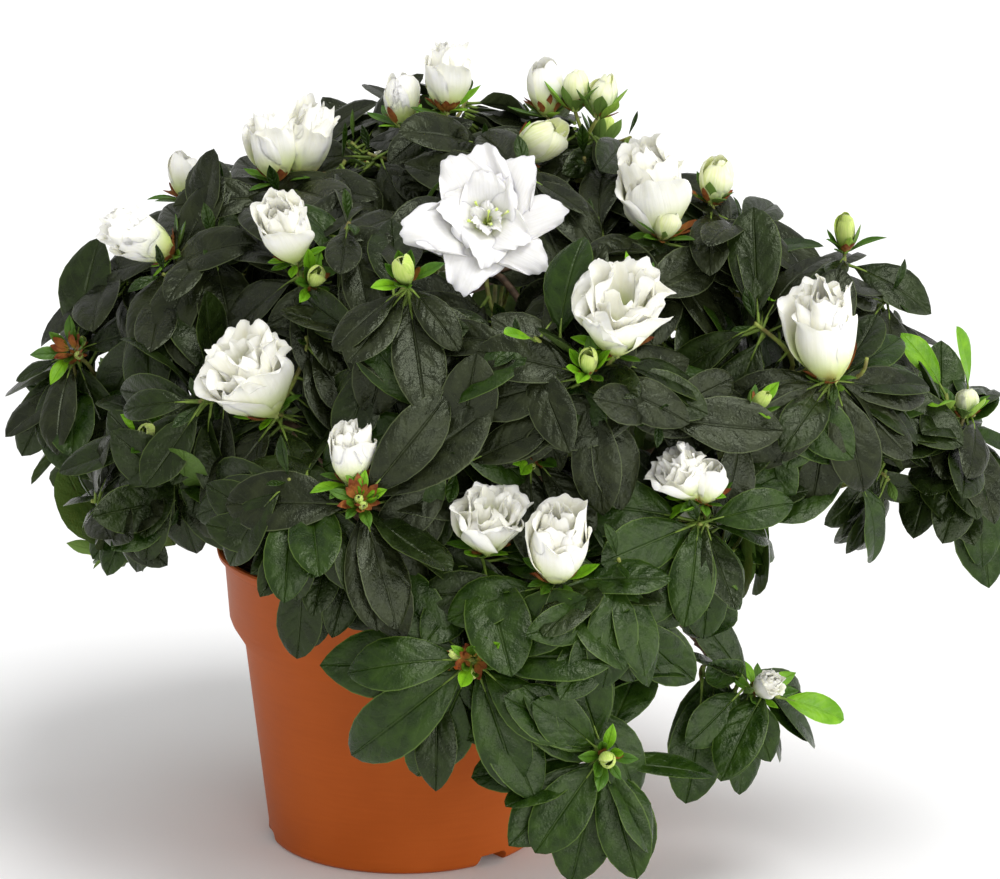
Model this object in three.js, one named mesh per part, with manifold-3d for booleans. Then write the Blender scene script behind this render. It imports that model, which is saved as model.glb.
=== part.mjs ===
// A potted azalea: a low evergreen shrub whose short stem forks just above the compost into limbs that
// carry a wide, slightly one-sided dome of leafy shoots, with a few shoots trailing over the front and
// right of the pot. Millimetres, +Z up. The origin is the centre of the pot's flat underside, and the
// plant's front faces -Y. Every mass of foliage is one closed, uneven lump that is pressed flat where it
// meets its neighbours.

import * as THREE from "three";
import { mergeVertices } from "three/addons/utils/BufferGeometryUtils.js";
import Module from "manifold-3d";

const wasm = await Module();
wasm.setup();

// ---- Driving dimensions -----------------------------------------------------------------------------

const GAP = 0.3; // between pieces that touch

const POT = {
  height: 106,
  lipRadius: 65,
  lipDepth: 3.3,
  lipFlare: 2.2,
  collarTopRadius: 62.2,
  collarFootRadius: 60.2,
  collarDepth: 27,
  shoulderDepth: 6,
  waistRadius: 55.4,
  footRadius: 48,
  footDepth: 4,
  baseRadius: 46,
  wall: 1.6,
  floor: 2.4,
  sides: 32,
};

// Three drainage notches are cut through the foot of the wall and the edge of the floor.
const NOTCH = { count: 3, firstBearing: -50, width: 14, height: 3.8, innerRadius: 38 };

const COMPOST = { belowLip: 11, edgeDrop: 2.5, flatRadius: 24, sides: 24 };

const STEM = {
  height: 30,
  footRadius: 13,
  flareHeight: 9,
  waistRadius: 8,
  topRadius: 7.2,
  blunt: 2,
  lean: 3,
  sides: 14,
};

const BOUGH = {
  rootRadius: 2.6,
  tipRadius: 1.3,
  sides: 6,
  steps: 6,
  straight: 24, // how far a limb runs straight out from the stem's axis
  clearOfLip: 22, // how high above the pot the low limbs arch over its lip
  climb: 0.35, // the share of its rise that a high limb makes before it bends to its mass
  bendReach: 0.6, // where that bend lies, as a share of the mass's reach
  leavingRise: 0.4, // the share of the rise to the bend that is made on the straight
  intoMass: 9,
};

// The point that the shoots grow away from, and so the way that each mass faces.
const HEART = new THREE.Vector3(20, 0, 110);

const LUMP = {
  detail: 2,
  unevenness: 0.09,
  waves: new THREE.Vector3(4, 3, 5), // lobes round each axis
  phase: new THREE.Vector3(0.37, 0, 0.23), // turns the lobes from one mass to the next, per millimetre
  clearOfPot: 2,
  clearOfGround: 4,
};

// Each mass: bearing in degrees anticlockwise from +X, seen from above (the front is -90), reach from the
// pot's axis, height above the base, spread across its facing and depth along it.
const FRONT_MASSES = {
  crest_left: [-20, 15, 250, 39, 32],
  crest_right: [-5, 58, 246, 42, 30],
  left_top: [-158, 40, 232, 40, 28],
  left_back: [160, 62, 204, 40, 28],
  left_upper: [-160, 80, 204, 38, 28],
  left_inner: [-112, 74, 212, 38, 28],
  centre_bloom: [-67, 80, 226, 44, 28],
  mid_upper: [-90, 98, 205, 36, 26],
  right_shoulder: [-30, 104, 223, 44, 28],
  mid_right: [-61, 126, 196, 42, 28],
  right_front: [-30, 157, 184, 44, 24],
  right_far: [-4, 156, 180, 38, 24],
  right_tip: [-11, 186, 155, 44, 18],
  right_branch: [-22, 164, 146, 34, 20],
  left_tip: [-172, 110, 165, 38, 22],
  left_low: [-138, 102, 160, 46, 26],
  left_bloom: [-117, 96, 180, 40, 28],
  left_skirt: [-164, 94, 134, 38, 22],
  mid_low: [-84, 116, 172, 38, 26],
  right_low: [-48, 144, 146, 46, 24],
  front_left: [-96, 122, 148, 46, 26],
  front_right: [-69, 138, 134, 44, 24],
  front_low: [-80, 136, 102, 46, 22],
  trail: [-65, 150, 76, 46, 22],
  trail_right: [-32, 138, 80, 42, 20],
};

// The back of the crown is more even: tiers of masses spread between two bearings.
const BACK_TIERS = {
  back_crest: { count: 2, from: 35, to: 98, reach: 52, height: 226, spread: 42, depth: 28 },
  back_shoulder: { count: 3, from: 22, to: 114, reach: 98, height: 200, spread: 46, depth: 26 },
  back_waist: { count: 4, from: 22, to: 140, reach: 120, height: 164, spread: 48, depth: 24 },
  back_skirt: { count: 4, from: 22, to: 148, reach: 118, height: 124, spread: 44, depth: 22 },
};

// Limbs leave the stem in tiers. Each runs to the mass that is named, anticlockwise, and ends where it
// first enters foliage.
const BOUGH_TIERS = {
  low: {
    start: 10,
    to: ["left_skirt", "front_left", "trail_right", "back_skirt_1", "back_skirt_3", "back_skirt_4"],
  },
  middle: {
    start: 17,
    to: ["left_low", "front_low", "right_tip", "back_waist_2", "back_waist_4"],
  },
  high: {
    start: 24,
    to: ["left_upper", "mid_upper", "right_front", "back_shoulder_1", "back_shoulder_3"],
  },
};

// Colour and roughness.
const FINISHES = {
  terracotta_plastic: [0xa8501c, 0.5],
  compost: [0x2b1d14, 0.95],
  bark: [0x5a4632, 0.85],
  leaf: [0x26331d, 0.45],
};

// ---- Helpers ----------------------------------------------------------------------------------------

/** A point from its bearing in degrees, its reach from the axis and its height. */
function polar(bearing, reach, height) {
  const angle = THREE.MathUtils.degToRad(bearing);
  return new THREE.Vector3(reach * Math.cos(angle), reach * Math.sin(angle), height);
}

/** A geometry's closed solid, with the vertices that its faces share merged. */
function solidOf(geometry) {
  const bare = geometry.clone();
  bare.deleteAttribute("normal");
  bare.deleteAttribute("uv");
  const merged = mergeVertices(bare, 1e-4);
  return new wasm.Manifold(
    new wasm.Mesh({
      numProp: 3,
      vertProperties: new Float32Array(merged.attributes.position.array),
      triVerts: new Uint32Array(merged.index.array),
    }),
  );
}

/** A solid's geometry, with flat faces. */
function geometryOf(solid) {
  const { vertProperties, triVerts } = solid.getMesh();
  const shared = new THREE.BufferGeometry();
  shared.setAttribute("position", new THREE.BufferAttribute(vertProperties, 3));
  shared.setIndex(new THREE.BufferAttribute(triVerts, 1));
  const geometry = shared.toNonIndexed();
  geometry.computeVertexNormals();
  return geometry;
}

/** A shape turned about Z from a profile of [radius, height] points that starts and ends on the axis. */
function turned(profile, sides) {
  const points = profile.map(([radius, height]) => new THREE.Vector2(radius, height));
  return new THREE.LatheGeometry(points, sides).rotateX(Math.PI / 2);
}

const materials = {};
for (const [name, [color, roughness]] of Object.entries(FINISHES)) {
  materials[name] = new THREE.MeshStandardMaterial({ name, color, roughness, metalness: 0 });
}

/** A named mesh in one of the finishes. */
function piece(name, geometry, finish) {
  const mesh = new THREE.Mesh(geometry, materials[finish]);
  mesh.name = name;
  return mesh;
}

// ---- Pot and compost --------------------------------------------------------------------------------

const COLLAR_FOOT = POT.height - POT.collarDepth;
const SHOULDER = COLLAR_FOOT - POT.shoulderDepth;
const COMPOST_TOP = POT.height - COMPOST.belowLip;

/** The inside radius of the tapered wall at a height below the shoulder. */
function insideRadius(height) {
  const share = (height - POT.footDepth) / (SHOULDER - POT.footDepth);
  return THREE.MathUtils.lerp(POT.footRadius, POT.waistRadius, share) - POT.wall;
}

/** A thin moulded pot: tapered wall, wider collar, rolled lip, flat underside and drainage notches. */
function pot() {
  const { height, wall, floor } = POT;
  const profile = [
    [0, 0],
    [POT.baseRadius, 0],
    [POT.footRadius, POT.footDepth],
    [POT.waistRadius, SHOULDER],
    [POT.collarFootRadius, COLLAR_FOOT],
    [POT.collarTopRadius, height - POT.lipDepth - POT.lipFlare],
    [POT.lipRadius, height - POT.lipDepth],
    [POT.lipRadius, height],
    [POT.collarTopRadius - wall, height],
    [POT.collarFootRadius - wall, COLLAR_FOOT + 1],
    [insideRadius(SHOULDER), SHOULDER],
    [insideRadius(floor), floor],
    [0, floor],
  ];
  let body = solidOf(turned(profile, POT.sides));
  const cut = POT.lipRadius - NOTCH.innerRadius;
  for (let i = 0; i < NOTCH.count; i++) {
    const bearing = NOTCH.firstBearing + (360 / NOTCH.count) * i;
    const cutter = new THREE.BoxGeometry(cut, NOTCH.width, 2 * NOTCH.height)
      .translate(NOTCH.innerRadius + cut / 2, 0, 0)
      .rotateZ(THREE.MathUtils.degToRad(bearing));
    body = body.subtract(solidOf(cutter));
  }
  return piece("pot", geometryOf(body), "terracotta_plastic");
}

/** The compost and roots that fill the pot: one plug, level round the stem and lower at the wall. */
function rootBall() {
  const foot = POT.floor + GAP;
  const collarRadius = POT.collarFootRadius - POT.wall - GAP;
  const profile = [
    [0, foot],
    [insideRadius(foot) - GAP, foot],
    [insideRadius(SHOULDER) - GAP, SHOULDER],
    [collarRadius, COLLAR_FOOT + 1 + GAP],
    [collarRadius, COMPOST_TOP - COMPOST.edgeDrop],
    [COMPOST.flatRadius, COMPOST_TOP],
    [0, COMPOST_TOP],
  ];
  return piece("root_ball", turned(profile, COMPOST.sides), "compost");
}

// ---- Masses of foliage ------------------------------------------------------------------------------

const masses = new Map();

/** Adds a mass to the crown, facing away from the heart. */
function addMass(name, bearing, reach, height, spread, depth) {
  const centre = polar(bearing, reach, height);
  const facing = centre.clone().sub(HEART).normalize();
  masses.set(name, { centre, facing, spread, depth });
}

for (const [name, sizes] of Object.entries(FRONT_MASSES)) {
  addMass(name, ...sizes);
}
for (const [name, tier] of Object.entries(BACK_TIERS)) {
  for (let i = 0; i < tier.count; i++) {
    const bearing = THREE.MathUtils.lerp(tier.from, tier.to, i / (tier.count - 1));
    addMass(`${name}_${i + 1}`, bearing, tier.reach, tier.height, tier.spread, tier.depth);
  }
}

/** The planes that hold a mass back: shared with each neighbour, clear of the pot and of the ground. */
function limitsOf(mass) {
  const { centre, spread } = mass;
  const limits = [];
  for (const other of masses.values()) {
    if (other === mass) continue;
    const towards = other.centre.clone().sub(centre);
    const share = spread / (spread + other.spread);
    limits.push({ distance: towards.length() * share - GAP / 2, normal: towards.normalize() });
  }
  const down = new THREE.Vector3(0, 0, -1);
  const reach = Math.hypot(centre.x, centre.y);
  const besidePot = reach - POT.lipRadius - LUMP.clearOfPot;
  const abovePot = centre.z - POT.height - LUMP.clearOfPot;
  if (besidePot > abovePot) {
    const inwards = new THREE.Vector3(-centre.x / reach, -centre.y / reach, 0);
    limits.push({ distance: besidePot, normal: inwards });
  } else {
    limits.push({ distance: abovePot, normal: down });
  }
  limits.push({ distance: centre.z - LUMP.clearOfGround, normal: down });
  return limits;
}

/** A mass's radius along a direction: a flattened ball with gentle lobes, cut short by its limits. */
function massRadius(mass, limits, direction) {
  const along = direction.dot(mass.facing);
  const across = Math.sqrt(Math.max(0, 1 - along * along));
  const round = 1 / Math.hypot(along / mass.depth, across / mass.spread);
  const turn = mass.centre.dot(LUMP.phase);
  const { x, y, z } = direction.clone().multiply(LUMP.waves);
  const lobes = Math.sin(x + turn) * Math.cos(y - turn) + Math.sin(z + 2 * turn);
  let radius = round * (1 + LUMP.unevenness * lobes);
  for (const { distance, normal } of limits) {
    const facing = direction.dot(normal);
    if (facing > 0) radius = Math.min(radius, distance / facing);
  }
  return radius;
}

/** A mass's geometry, grown by a margin on every side. */
function lump(mass, margin = 0) {
  const limits = limitsOf(mass);
  const geometry = new THREE.IcosahedronGeometry(1, LUMP.detail);
  const position = geometry.attributes.position;
  const direction = new THREE.Vector3();
  for (let i = 0; i < position.count; i++) {
    direction.fromBufferAttribute(position, i).normalize();
    const radius = massRadius(mass, limits, direction) + margin;
    position.setXYZ(i, ...direction.multiplyScalar(radius).add(mass.centre).toArray());
  }
  return geometry;
}

// ---- Stem and boughs --------------------------------------------------------------------------------

const stemFoot = new THREE.Vector3(0, 0, COMPOST_TOP + GAP);
const stemTop = new THREE.Vector3(STEM.lean, 0, stemFoot.z + STEM.height);

/** The short leaning stem: a level foot with a root flare, a waist, and a blunt top where the limbs part. */
function stemGeometry(margin = 0) {
  const flareSteps = 3;
  const profile = [[0, -margin]];
  for (let i = 0; i <= flareSteps; i++) {
    const share = i / flareSteps;
    const radius = THREE.MathUtils.lerp(STEM.waistRadius, STEM.footRadius, (1 - share) ** 2);
    profile.push([radius + margin, share * STEM.flareHeight - (i === 0 ? margin : 0)]);
  }
  profile.push(
    [STEM.topRadius + margin, STEM.height - STEM.blunt],
    [STEM.topRadius - STEM.blunt + margin, STEM.height + margin],
    [0, STEM.height + margin],
  );
  const leaning = new THREE.Matrix4().makeShear(0, 0, 0, 0, STEM.lean / STEM.height, 0);
  return turned(profile, STEM.sides).applyMatrix4(leaning).translate(0, 0, stemFoot.z);
}

/** A limb of round section that follows a curve and tapers evenly along it. */
function limb(curve) {
  const { sides, steps } = BOUGH;
  const geometry = new THREE.CylinderGeometry(1, 1, 1, sides, steps);
  const position = geometry.attributes.position;
  const frames = curve.computeFrenetFrames(steps, false);
  for (let i = 0; i < position.count; i++) {
    const step = Math.round((position.getY(i) + 0.5) * steps);
    const radius = THREE.MathUtils.lerp(BOUGH.rootRadius, BOUGH.tipRadius, step / steps);
    const point = curve
      .getPointAt(step / steps)
      .addScaledVector(frames.normals[step], position.getZ(i) * radius)
      .addScaledVector(frames.binormals[step], position.getX(i) * radius);
    position.setXYZ(i, ...point.toArray());
  }
  return geometry;
}

/** The curve of a limb: straight out of the stem's side, over the pot's lip, and into its mass. */
function boughCurve(mass, start, bearing) {
  const root = stemFoot.clone().lerp(stemTop, start / STEM.height);
  const { x, y, z } = mass.centre;
  const over = Math.max(POT.height + BOUGH.clearOfLip, THREE.MathUtils.lerp(root.z, z, BOUGH.climb));
  const rise = BOUGH.leavingRise * (over - root.z);
  const leaving = root.clone().add(polar(bearing, BOUGH.straight, rise));
  const bend = new THREE.Vector3(x * BOUGH.bendReach, y * BOUGH.bendReach, over);
  const end = mass.centre.clone().addScaledVector(mass.facing, BOUGH.intoMass - mass.depth);
  return new THREE.CubicBezierCurve3(root, leaving, bend, end);
}

/** The bearings at which a tier leaves the stem: evenly spaced, and turned to suit its masses. */
function startBearings(names) {
  const spacing = 360 / names.length;
  let sine = 0;
  let cosine = 0;
  names.forEach((name, i) => {
    const { x, y } = masses.get(name).centre;
    const turn = Math.atan2(y, x) - THREE.MathUtils.degToRad(spacing * i);
    sine += Math.sin(turn);
    cosine += Math.cos(turn);
  });
  const first = THREE.MathUtils.radToDeg(Math.atan2(sine, cosine));
  return names.map((name, i) => first + spacing * i);
}

const grownStem = solidOf(stemGeometry(GAP));
const grownMasses = [...masses.values()].map((mass) => solidOf(lump(mass, GAP)));

/** How far the middle of a solid's box lies from the stem's top. */
function distanceFromStem(solid) {
  const { min, max } = solid.boundingBox();
  return new THREE.Vector3(...min).lerp(new THREE.Vector3(...max), 0.5).distanceTo(stemTop);
}

/** A limb from the stem to the first mass that it enters, as one tapering solid. */
function bough(name, start, bearing) {
  let solid = solidOf(limb(boughCurve(masses.get(name), start, bearing))).subtract(grownStem);
  for (const mass of grownMasses) {
    solid = solid.subtract(mass);
  }
  const stretches = solid.decompose().filter((part) => part.volume() > 1);
  stretches.sort((a, b) => distanceFromStem(a) - distanceFromStem(b));
  return piece(`bough_${name}`, geometryOf(stretches[0]), "bark");
}

// ---- The plant --------------------------------------------------------------------------------------

const plant = new THREE.Group();
plant.name = "potted_azalea";
plant.add(pot(), rootBall(), piece("stem", stemGeometry(), "bark"));
for (const { start, to } of Object.values(BOUGH_TIERS)) {
  const bearings = startBearings(to);
  to.forEach((name, i) => plant.add(bough(name, start, bearings[i])));
}
for (const [name, mass] of masses) {
  plant.add(piece(`foliage_${name}`, lump(mass), "leaf"));
}

export default plant;
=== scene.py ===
"""Looks of a potted white azalea: the pot, its compost, the bark, and every leaf, bud and bloom.

The plant is grown from its construction model. Each mass of foliage becomes a set of leafy shoots, spread
evenly over the outside of the crown by a seeded rule, on twigs that fork from the ends of the limbs.
"""

import logging
import math
from dataclasses import dataclass, field, replace
from enum import Enum

import bmesh
import bpy
import numpy as np
from mathutils import Matrix, Vector, noise
from mathutils.bvhtree import BVHTree


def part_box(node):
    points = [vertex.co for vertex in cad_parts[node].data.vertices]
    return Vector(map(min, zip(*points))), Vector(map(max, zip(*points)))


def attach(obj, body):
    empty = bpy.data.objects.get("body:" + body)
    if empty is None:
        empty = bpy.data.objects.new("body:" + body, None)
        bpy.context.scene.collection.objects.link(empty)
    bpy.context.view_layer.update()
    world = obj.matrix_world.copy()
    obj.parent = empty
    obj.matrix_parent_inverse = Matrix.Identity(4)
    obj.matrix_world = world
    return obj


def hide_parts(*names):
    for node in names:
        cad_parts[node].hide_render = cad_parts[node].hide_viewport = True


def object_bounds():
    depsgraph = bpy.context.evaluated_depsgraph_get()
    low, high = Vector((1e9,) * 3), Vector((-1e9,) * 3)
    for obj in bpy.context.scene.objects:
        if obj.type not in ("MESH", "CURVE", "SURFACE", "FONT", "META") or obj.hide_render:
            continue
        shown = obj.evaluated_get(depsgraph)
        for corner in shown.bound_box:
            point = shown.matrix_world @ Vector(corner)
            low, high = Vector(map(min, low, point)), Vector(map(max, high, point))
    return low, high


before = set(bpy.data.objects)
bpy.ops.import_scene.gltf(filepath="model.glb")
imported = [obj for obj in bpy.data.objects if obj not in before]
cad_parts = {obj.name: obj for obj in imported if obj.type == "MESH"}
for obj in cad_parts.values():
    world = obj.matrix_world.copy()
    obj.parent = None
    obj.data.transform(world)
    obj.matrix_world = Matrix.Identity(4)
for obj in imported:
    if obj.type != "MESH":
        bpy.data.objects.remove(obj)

CAD_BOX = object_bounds()
BODY = "root"
MM = 0.001
UP = np.array((0.0, 0.0, 1.0))
FORWARD = np.array((0.0, -1.0, 0.0))
GOLDEN_TURN = math.radians(137.5)
BLADE = "Blade"
UNDERSIDE = 4.0
SEAM = 0.001 * MM
FLAT_SEAM = 1e-4
RIM = 1e-3
ON_RIB = 0.1
OFF_AXIS = (0.31, 0.95, 0.08)
ROD_HINT = np.array((0.37, 0.21, 0.9))
FOLIAGE = sorted(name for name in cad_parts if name.startswith("foliage_"))
BOUGHS = sorted(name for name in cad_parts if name.startswith("bough_"))

log = logging.getLogger("azalea")

Array = np.ndarray
Colour = tuple[float, float, float]


# ---- Small sums ----


def unit(vector: Array) -> Array:
    """Returns the vector at length 1."""
    return vector / max(np.linalg.norm(vector), 1e-9)


def across(direction: Array, hint: Array) -> Array:
    """Returns the part of a hint that lies square to a direction, at length 1."""
    side = hint - direction * (hint @ direction)
    if np.linalg.norm(side) < FLAT_SEAM:
        side = np.cross(direction, OFF_AXIS)
    return unit(side)


def around(axis: Array, turn: float) -> Array:
    """Returns the way square to an axis that lies so far round it from straight up."""
    first = across(axis, UP)
    return first * math.cos(turn) + np.cross(axis, first) * math.sin(turn)


def tilted(axis: Array, out: Array, lean: float) -> Array:
    """Returns the way that leans so far from an axis, in radians, towards another way."""
    return axis * math.cos(lean) + out * math.sin(lean)


def ease(low: float, high: float, value: Array) -> Array:
    """Returns 0 below low, 1 above high and a smooth rise between."""
    t = np.clip((value - low) / (high - low), 0.0, 1.0)
    return t * t * (3.0 - 2.0 * t)


def middle(node: str) -> Array:
    """Returns the middle of a CAD node's box."""
    low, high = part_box(node)
    return (np.array(low) + np.array(high)) / 2


def bezier(a: Array, b: Array, c: Array, d: Array, count: int) -> Array:
    """Returns points of a cubic curve that leaves a towards b, and reaches d from c."""
    t = np.linspace(0.0, 1.0, count)[:, None]
    return (1 - t) ** 3 * a + 3 * (1 - t) ** 2 * t * b + 3 * (1 - t) * t**2 * c + t**3 * d


# ---- Shader maths ----


class Socket:
    """A number, colour or vector in a shader, which takes part in sums."""

    def __init__(self, graph: "Graph", link: bpy.types.NodeSocket) -> None:
        """Wraps an output of one of the graph's nodes."""
        self.graph = graph
        self.link = link

    def maths(self, operation: str, *others: "Socket | float") -> "Socket":
        """Returns a Math node's result on this value and others."""
        inputs = {0: self} | {place + 1: other for place, other in enumerate(others)}
        return self.graph.add("ShaderNodeMath", {"operation": operation}, inputs)

    def __add__(self, other: "Socket | float") -> "Socket":
        """Adds."""
        return self.maths("ADD", other)

    __radd__ = __add__

    def __mul__(self, other: "Socket | float") -> "Socket":
        """Multiplies."""
        return self.maths("MULTIPLY", other)

    __rmul__ = __mul__

    def __sub__(self, other: "Socket | float") -> "Socket":
        """Subtracts."""
        return self.maths("SUBTRACT", other)

    def __rsub__(self, other: float) -> "Socket":
        """Subtracts this from a number."""
        return (self * -1.0) + other

    def above(self, limit: float) -> "Socket":
        """Returns 1 where the value passes the limit."""
        return self.maths("GREATER_THAN", limit)

    def size(self) -> "Socket":
        """Returns the value without its sign."""
        return self.maths("ABSOLUTE")

    def rise(self, low: float, high: float) -> "Socket":
        """Returns 0 at low, 1 at high and a smooth rise between."""
        inputs = {"Value": self, "From Min": low, "From Max": high}
        return self.graph.add("ShaderNodeMapRange", {"interpolation_type": "SMOOTHSTEP"}, inputs)


class Graph:
    """A material's nodes."""

    def __init__(self, name: str) -> None:
        """Starts an empty material."""
        self.material = bpy.data.materials.new(name)
        self.material.use_nodes = True
        self.tree = self.material.node_tree
        self.tree.nodes.clear()

    def add(
        self,
        kind: str,
        settings: dict | None = None,
        inputs: dict | None = None,
        output: int | str | None = 0,
    ) -> "Socket | None":
        """Adds a node.

        Args:
            kind: the node's type.
            settings: what is set on the node itself, before its sockets.
            inputs: the values or links of its sockets.
            output: which of its outputs to give back, if any.

        Returns:
            That output.
        """
        node = self.tree.nodes.new(kind)
        for key, value in (settings or {}).items():
            setattr(node, key, value)
        for key, value in (inputs or {}).items():
            if isinstance(value, Socket):
                self.tree.links.new(value.link, node.inputs[key])
            else:
                node.inputs[key].default_value = value
        return None if output is None else Socket(self, node.outputs[output])

    def place(self) -> Socket:
        """Returns the place on the object, in metres."""
        return self.add("ShaderNodeTexCoord", output="Object")

    def grain(self, scale: float, detail: float = 3.0, place: Socket | None = None) -> Socket:
        """Returns a noise from 0 to 1, with so many lumps to the metre."""
        inputs = {"Vector": place or self.place(), "Scale": scale, "Detail": detail}
        return self.add("ShaderNodeTexNoise", inputs=inputs)

    def sheet_place(self) -> tuple[Socket, Socket]:
        """Returns how far a point is across its blade, -1 to 1 or past 2 underneath, and along it, 0 to 1."""
        whole = self.add("ShaderNodeUVMap", {"uv_map": BLADE})
        split = self.add("ShaderNodeSeparateXYZ", inputs={0: whole})
        return split, Socket(self, split.link.node.outputs[1])

    def mix(self, share: Socket | float, a: Socket | Colour, b: Socket | Colour) -> Socket:
        """Returns a colour between two."""
        ends = [value if isinstance(value, Socket) else (*value, 1.0) for value in (a, b)]
        return self.add("ShaderNodeMix", {"data_type": "RGBA"}, {0: share, 6: ends[0], 7: ends[1]}, 2)

    def bump(self, height: Socket, depth: float, strength: float = 1.0) -> Socket:
        """Returns the normal of a relief that is so many metres deep."""
        return self.add("ShaderNodeBump", inputs={"Height": height, "Distance": depth, "Strength": strength})

    def surface(self, **inputs: Socket | float | Colour) -> bpy.types.Material:
        """Ends the material in a surface shader, with underscores for the spaces in its sockets' names."""
        named = {key.replace("_", " "): value for key, value in inputs.items()}
        for key, value in named.items():
            if isinstance(value, tuple) and "Color" in key:
                named[key] = (*value, 1.0)
        shader = self.add("ShaderNodeBsdfPrincipled", inputs=named)
        self.add("ShaderNodeOutputMaterial", inputs={"Surface": shader}, output=None)
        return self.material


# ---- Finishes ----


@dataclass(frozen=True)
class PlasticFinish:
    """Moulded terracotta-coloured plastic: even, slightly mottled, with fine turning lines."""

    light: Colour = (0.415, 0.085, 0.009)
    dark: Colour = (0.37, 0.073, 0.007)
    mottles: float = 38.0
    lines: float = 60.0
    flattening: float = 14.0
    specks: float = 1900.0
    relief: float = 0.1 * MM

    def material(self) -> bpy.types.Material:
        """Makes the material."""
        graph = Graph("terracotta plastic")
        mottle = graph.grain(self.mottles, 4.0)
        flat = {"Vector": graph.place(), "Scale": (1.0, 1.0, self.flattening)}
        lines = graph.grain(self.lines, 2.0, graph.add("ShaderNodeMapping", inputs=flat))
        colour = graph.mix((mottle * 0.7 + lines * 0.3).rise(0.3, 0.7), self.dark, self.light)
        speck = graph.grain(self.specks, 2.0)
        relief = graph.bump(lines * 0.35 + speck * 0.65, self.relief, 0.5)
        rough = mottle.rise(0.2, 0.8) * 0.1 + 0.42
        return graph.surface(Base_Color=colour, Roughness=rough, Normal=relief, Specular_IOR_Level=0.15)


@dataclass(frozen=True)
class GrainFinish:
    """Something rough and brown: compost, bark or a twig.

    Attributes:
        name: the material's name.
        dark: its hollows.
        pale: what stands out.
        broad: how many broad lumps there are to the metre, and how much detail is in them.
        fine: the same for its fine grain.
        share: how much of the colour follows the broad lumps. The fine grain has the rest.
        contrast: where the colour starts and ends to turn pale.
        raised: how much of the relief follows the broad lumps.
        relief: how deep the relief is.
        strength: how strongly the relief shows.
        roughness: how matt it is.
        shine: how much it reflects.
    """

    name: str
    dark: Colour
    pale: Colour
    broad: tuple[float, float] = (300.0, 4.0)
    fine: tuple[float, float] = (1600.0, 3.0)
    share: float = 1.0
    contrast: tuple[float, float] = (0.35, 0.65)
    raised: float = 0.0
    relief: float = 0.3 * MM
    strength: float = 0.6
    roughness: float = 0.6
    shine: float = 0.35

    def material(self) -> bpy.types.Material:
        """Makes the material."""
        graph = Graph(self.name)
        broad, fine = graph.grain(*self.broad), graph.grain(*self.fine)
        tone = (broad * self.share + fine * (1.0 - self.share)).rise(*self.contrast)
        colour = graph.mix(tone, self.dark, self.pale)
        height = fine * (1.0 - self.raised) + broad * self.raised
        relief = graph.bump(height, self.relief, self.strength)
        return graph.surface(
            Base_Color=colour, Roughness=self.roughness, Normal=relief, Specular_IOR_Level=self.shine
        )


@dataclass(frozen=True)
class LeafFinish:
    """A leathery leaf: a paler rib, painted shade in its crease, a thin pale margin partly painted as a
    highlight, and a quilted upper side.

    Attributes:
        name: the material's name.
        colour: the upper side.
        deep: its darker blotches, and the painted shade along the rib's crease.
        under: the underside.
        rib: the rib, the veins and the margin, whose pale line is partly painted highlight.
        roughness: how matt it is.
        veins: how many veins leave the rib on each side.
        slant: how far they run towards the leaf's end.
        lines: how strongly they show as lines.
        wander: how far they stray from their places.
        blotches: how many blotches there are to the metre.
        quilt: how deep the relief between the veins is.
    """

    name: str
    colour: Colour
    deep: Colour
    under: Colour
    rib: Colour
    roughness: float
    veins: float = 7.0
    slant: float = 1.5
    lines: float = 0.035
    wander: float = 0.55
    blotches: float = 170.0
    quilt: float = 1.0 * MM

    def material(self) -> bpy.types.Material:
        """Makes the material."""
        graph = Graph(self.name)
        whole, along = graph.sheet_place()
        below = whole.above(UNDERSIDE / 2)
        out = (whole - below * UNDERSIDE).size()
        blotch = graph.grain(self.blotches, 4.0)
        blade = graph.mix(blotch.rise(0.35, 0.68), self.deep, self.colour)
        # Painted shade: the deep colour laid along the sunken crease of the rib.
        blade = graph.mix((1.0 - out.rise(0.0, 0.07)) * 0.6, blade, self.deep)
        rib = (1.0 - out.rise(0.012, 0.05)) * (0.6 - along.rise(0.04, 0.42) * 0.52)
        groove = 1.0 - out.rise(0.0, 0.08)
        stray = (graph.grain(95.0, 2.0) - 0.5) * (self.wander * 2.0)
        vein = (along * self.veins - out * self.slant + stray).maths("PINGPONG", 0.5) * 2.0
        line = (1.0 - vein.rise(0.0, 0.22)) * (1.0 - out.rise(0.75, 0.95)) * self.lines
        # The pale margin line is partly the leaf's own paler edge and partly a painted highlight where the
        # edge catches light.
        margin = out.rise(0.945, 0.985) * 0.4
        upper = graph.mix(rib.maths("MAXIMUM", line.maths("MAXIMUM", margin)), blade, self.rib)
        colour = graph.mix(below, upper, graph.mix(rib * 0.6, self.under, self.rib))
        fine = graph.grain(1150.0, 3.0)
        quilt = vein.rise(0.0, 0.75) * (1.0 - out.rise(0.7, 1.0)) * out.rise(0.02, 0.2)
        height = quilt * 0.17 + graph.grain(330.0, 2.0) * 0.24 + fine * 0.34 - groove * 0.5
        relief = graph.bump(height, self.quilt, 0.75)
        rough = blotch.rise(0.3, 0.7) * 0.12 + self.roughness - 0.08 + below * 0.18
        return graph.surface(
            Base_Color=colour,
            Roughness=rough,
            Normal=relief,
            Specular_IOR_Level=0.31,
            Specular_Tint=(0.90, 1.0, 0.72, 1.0),
        )


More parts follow.
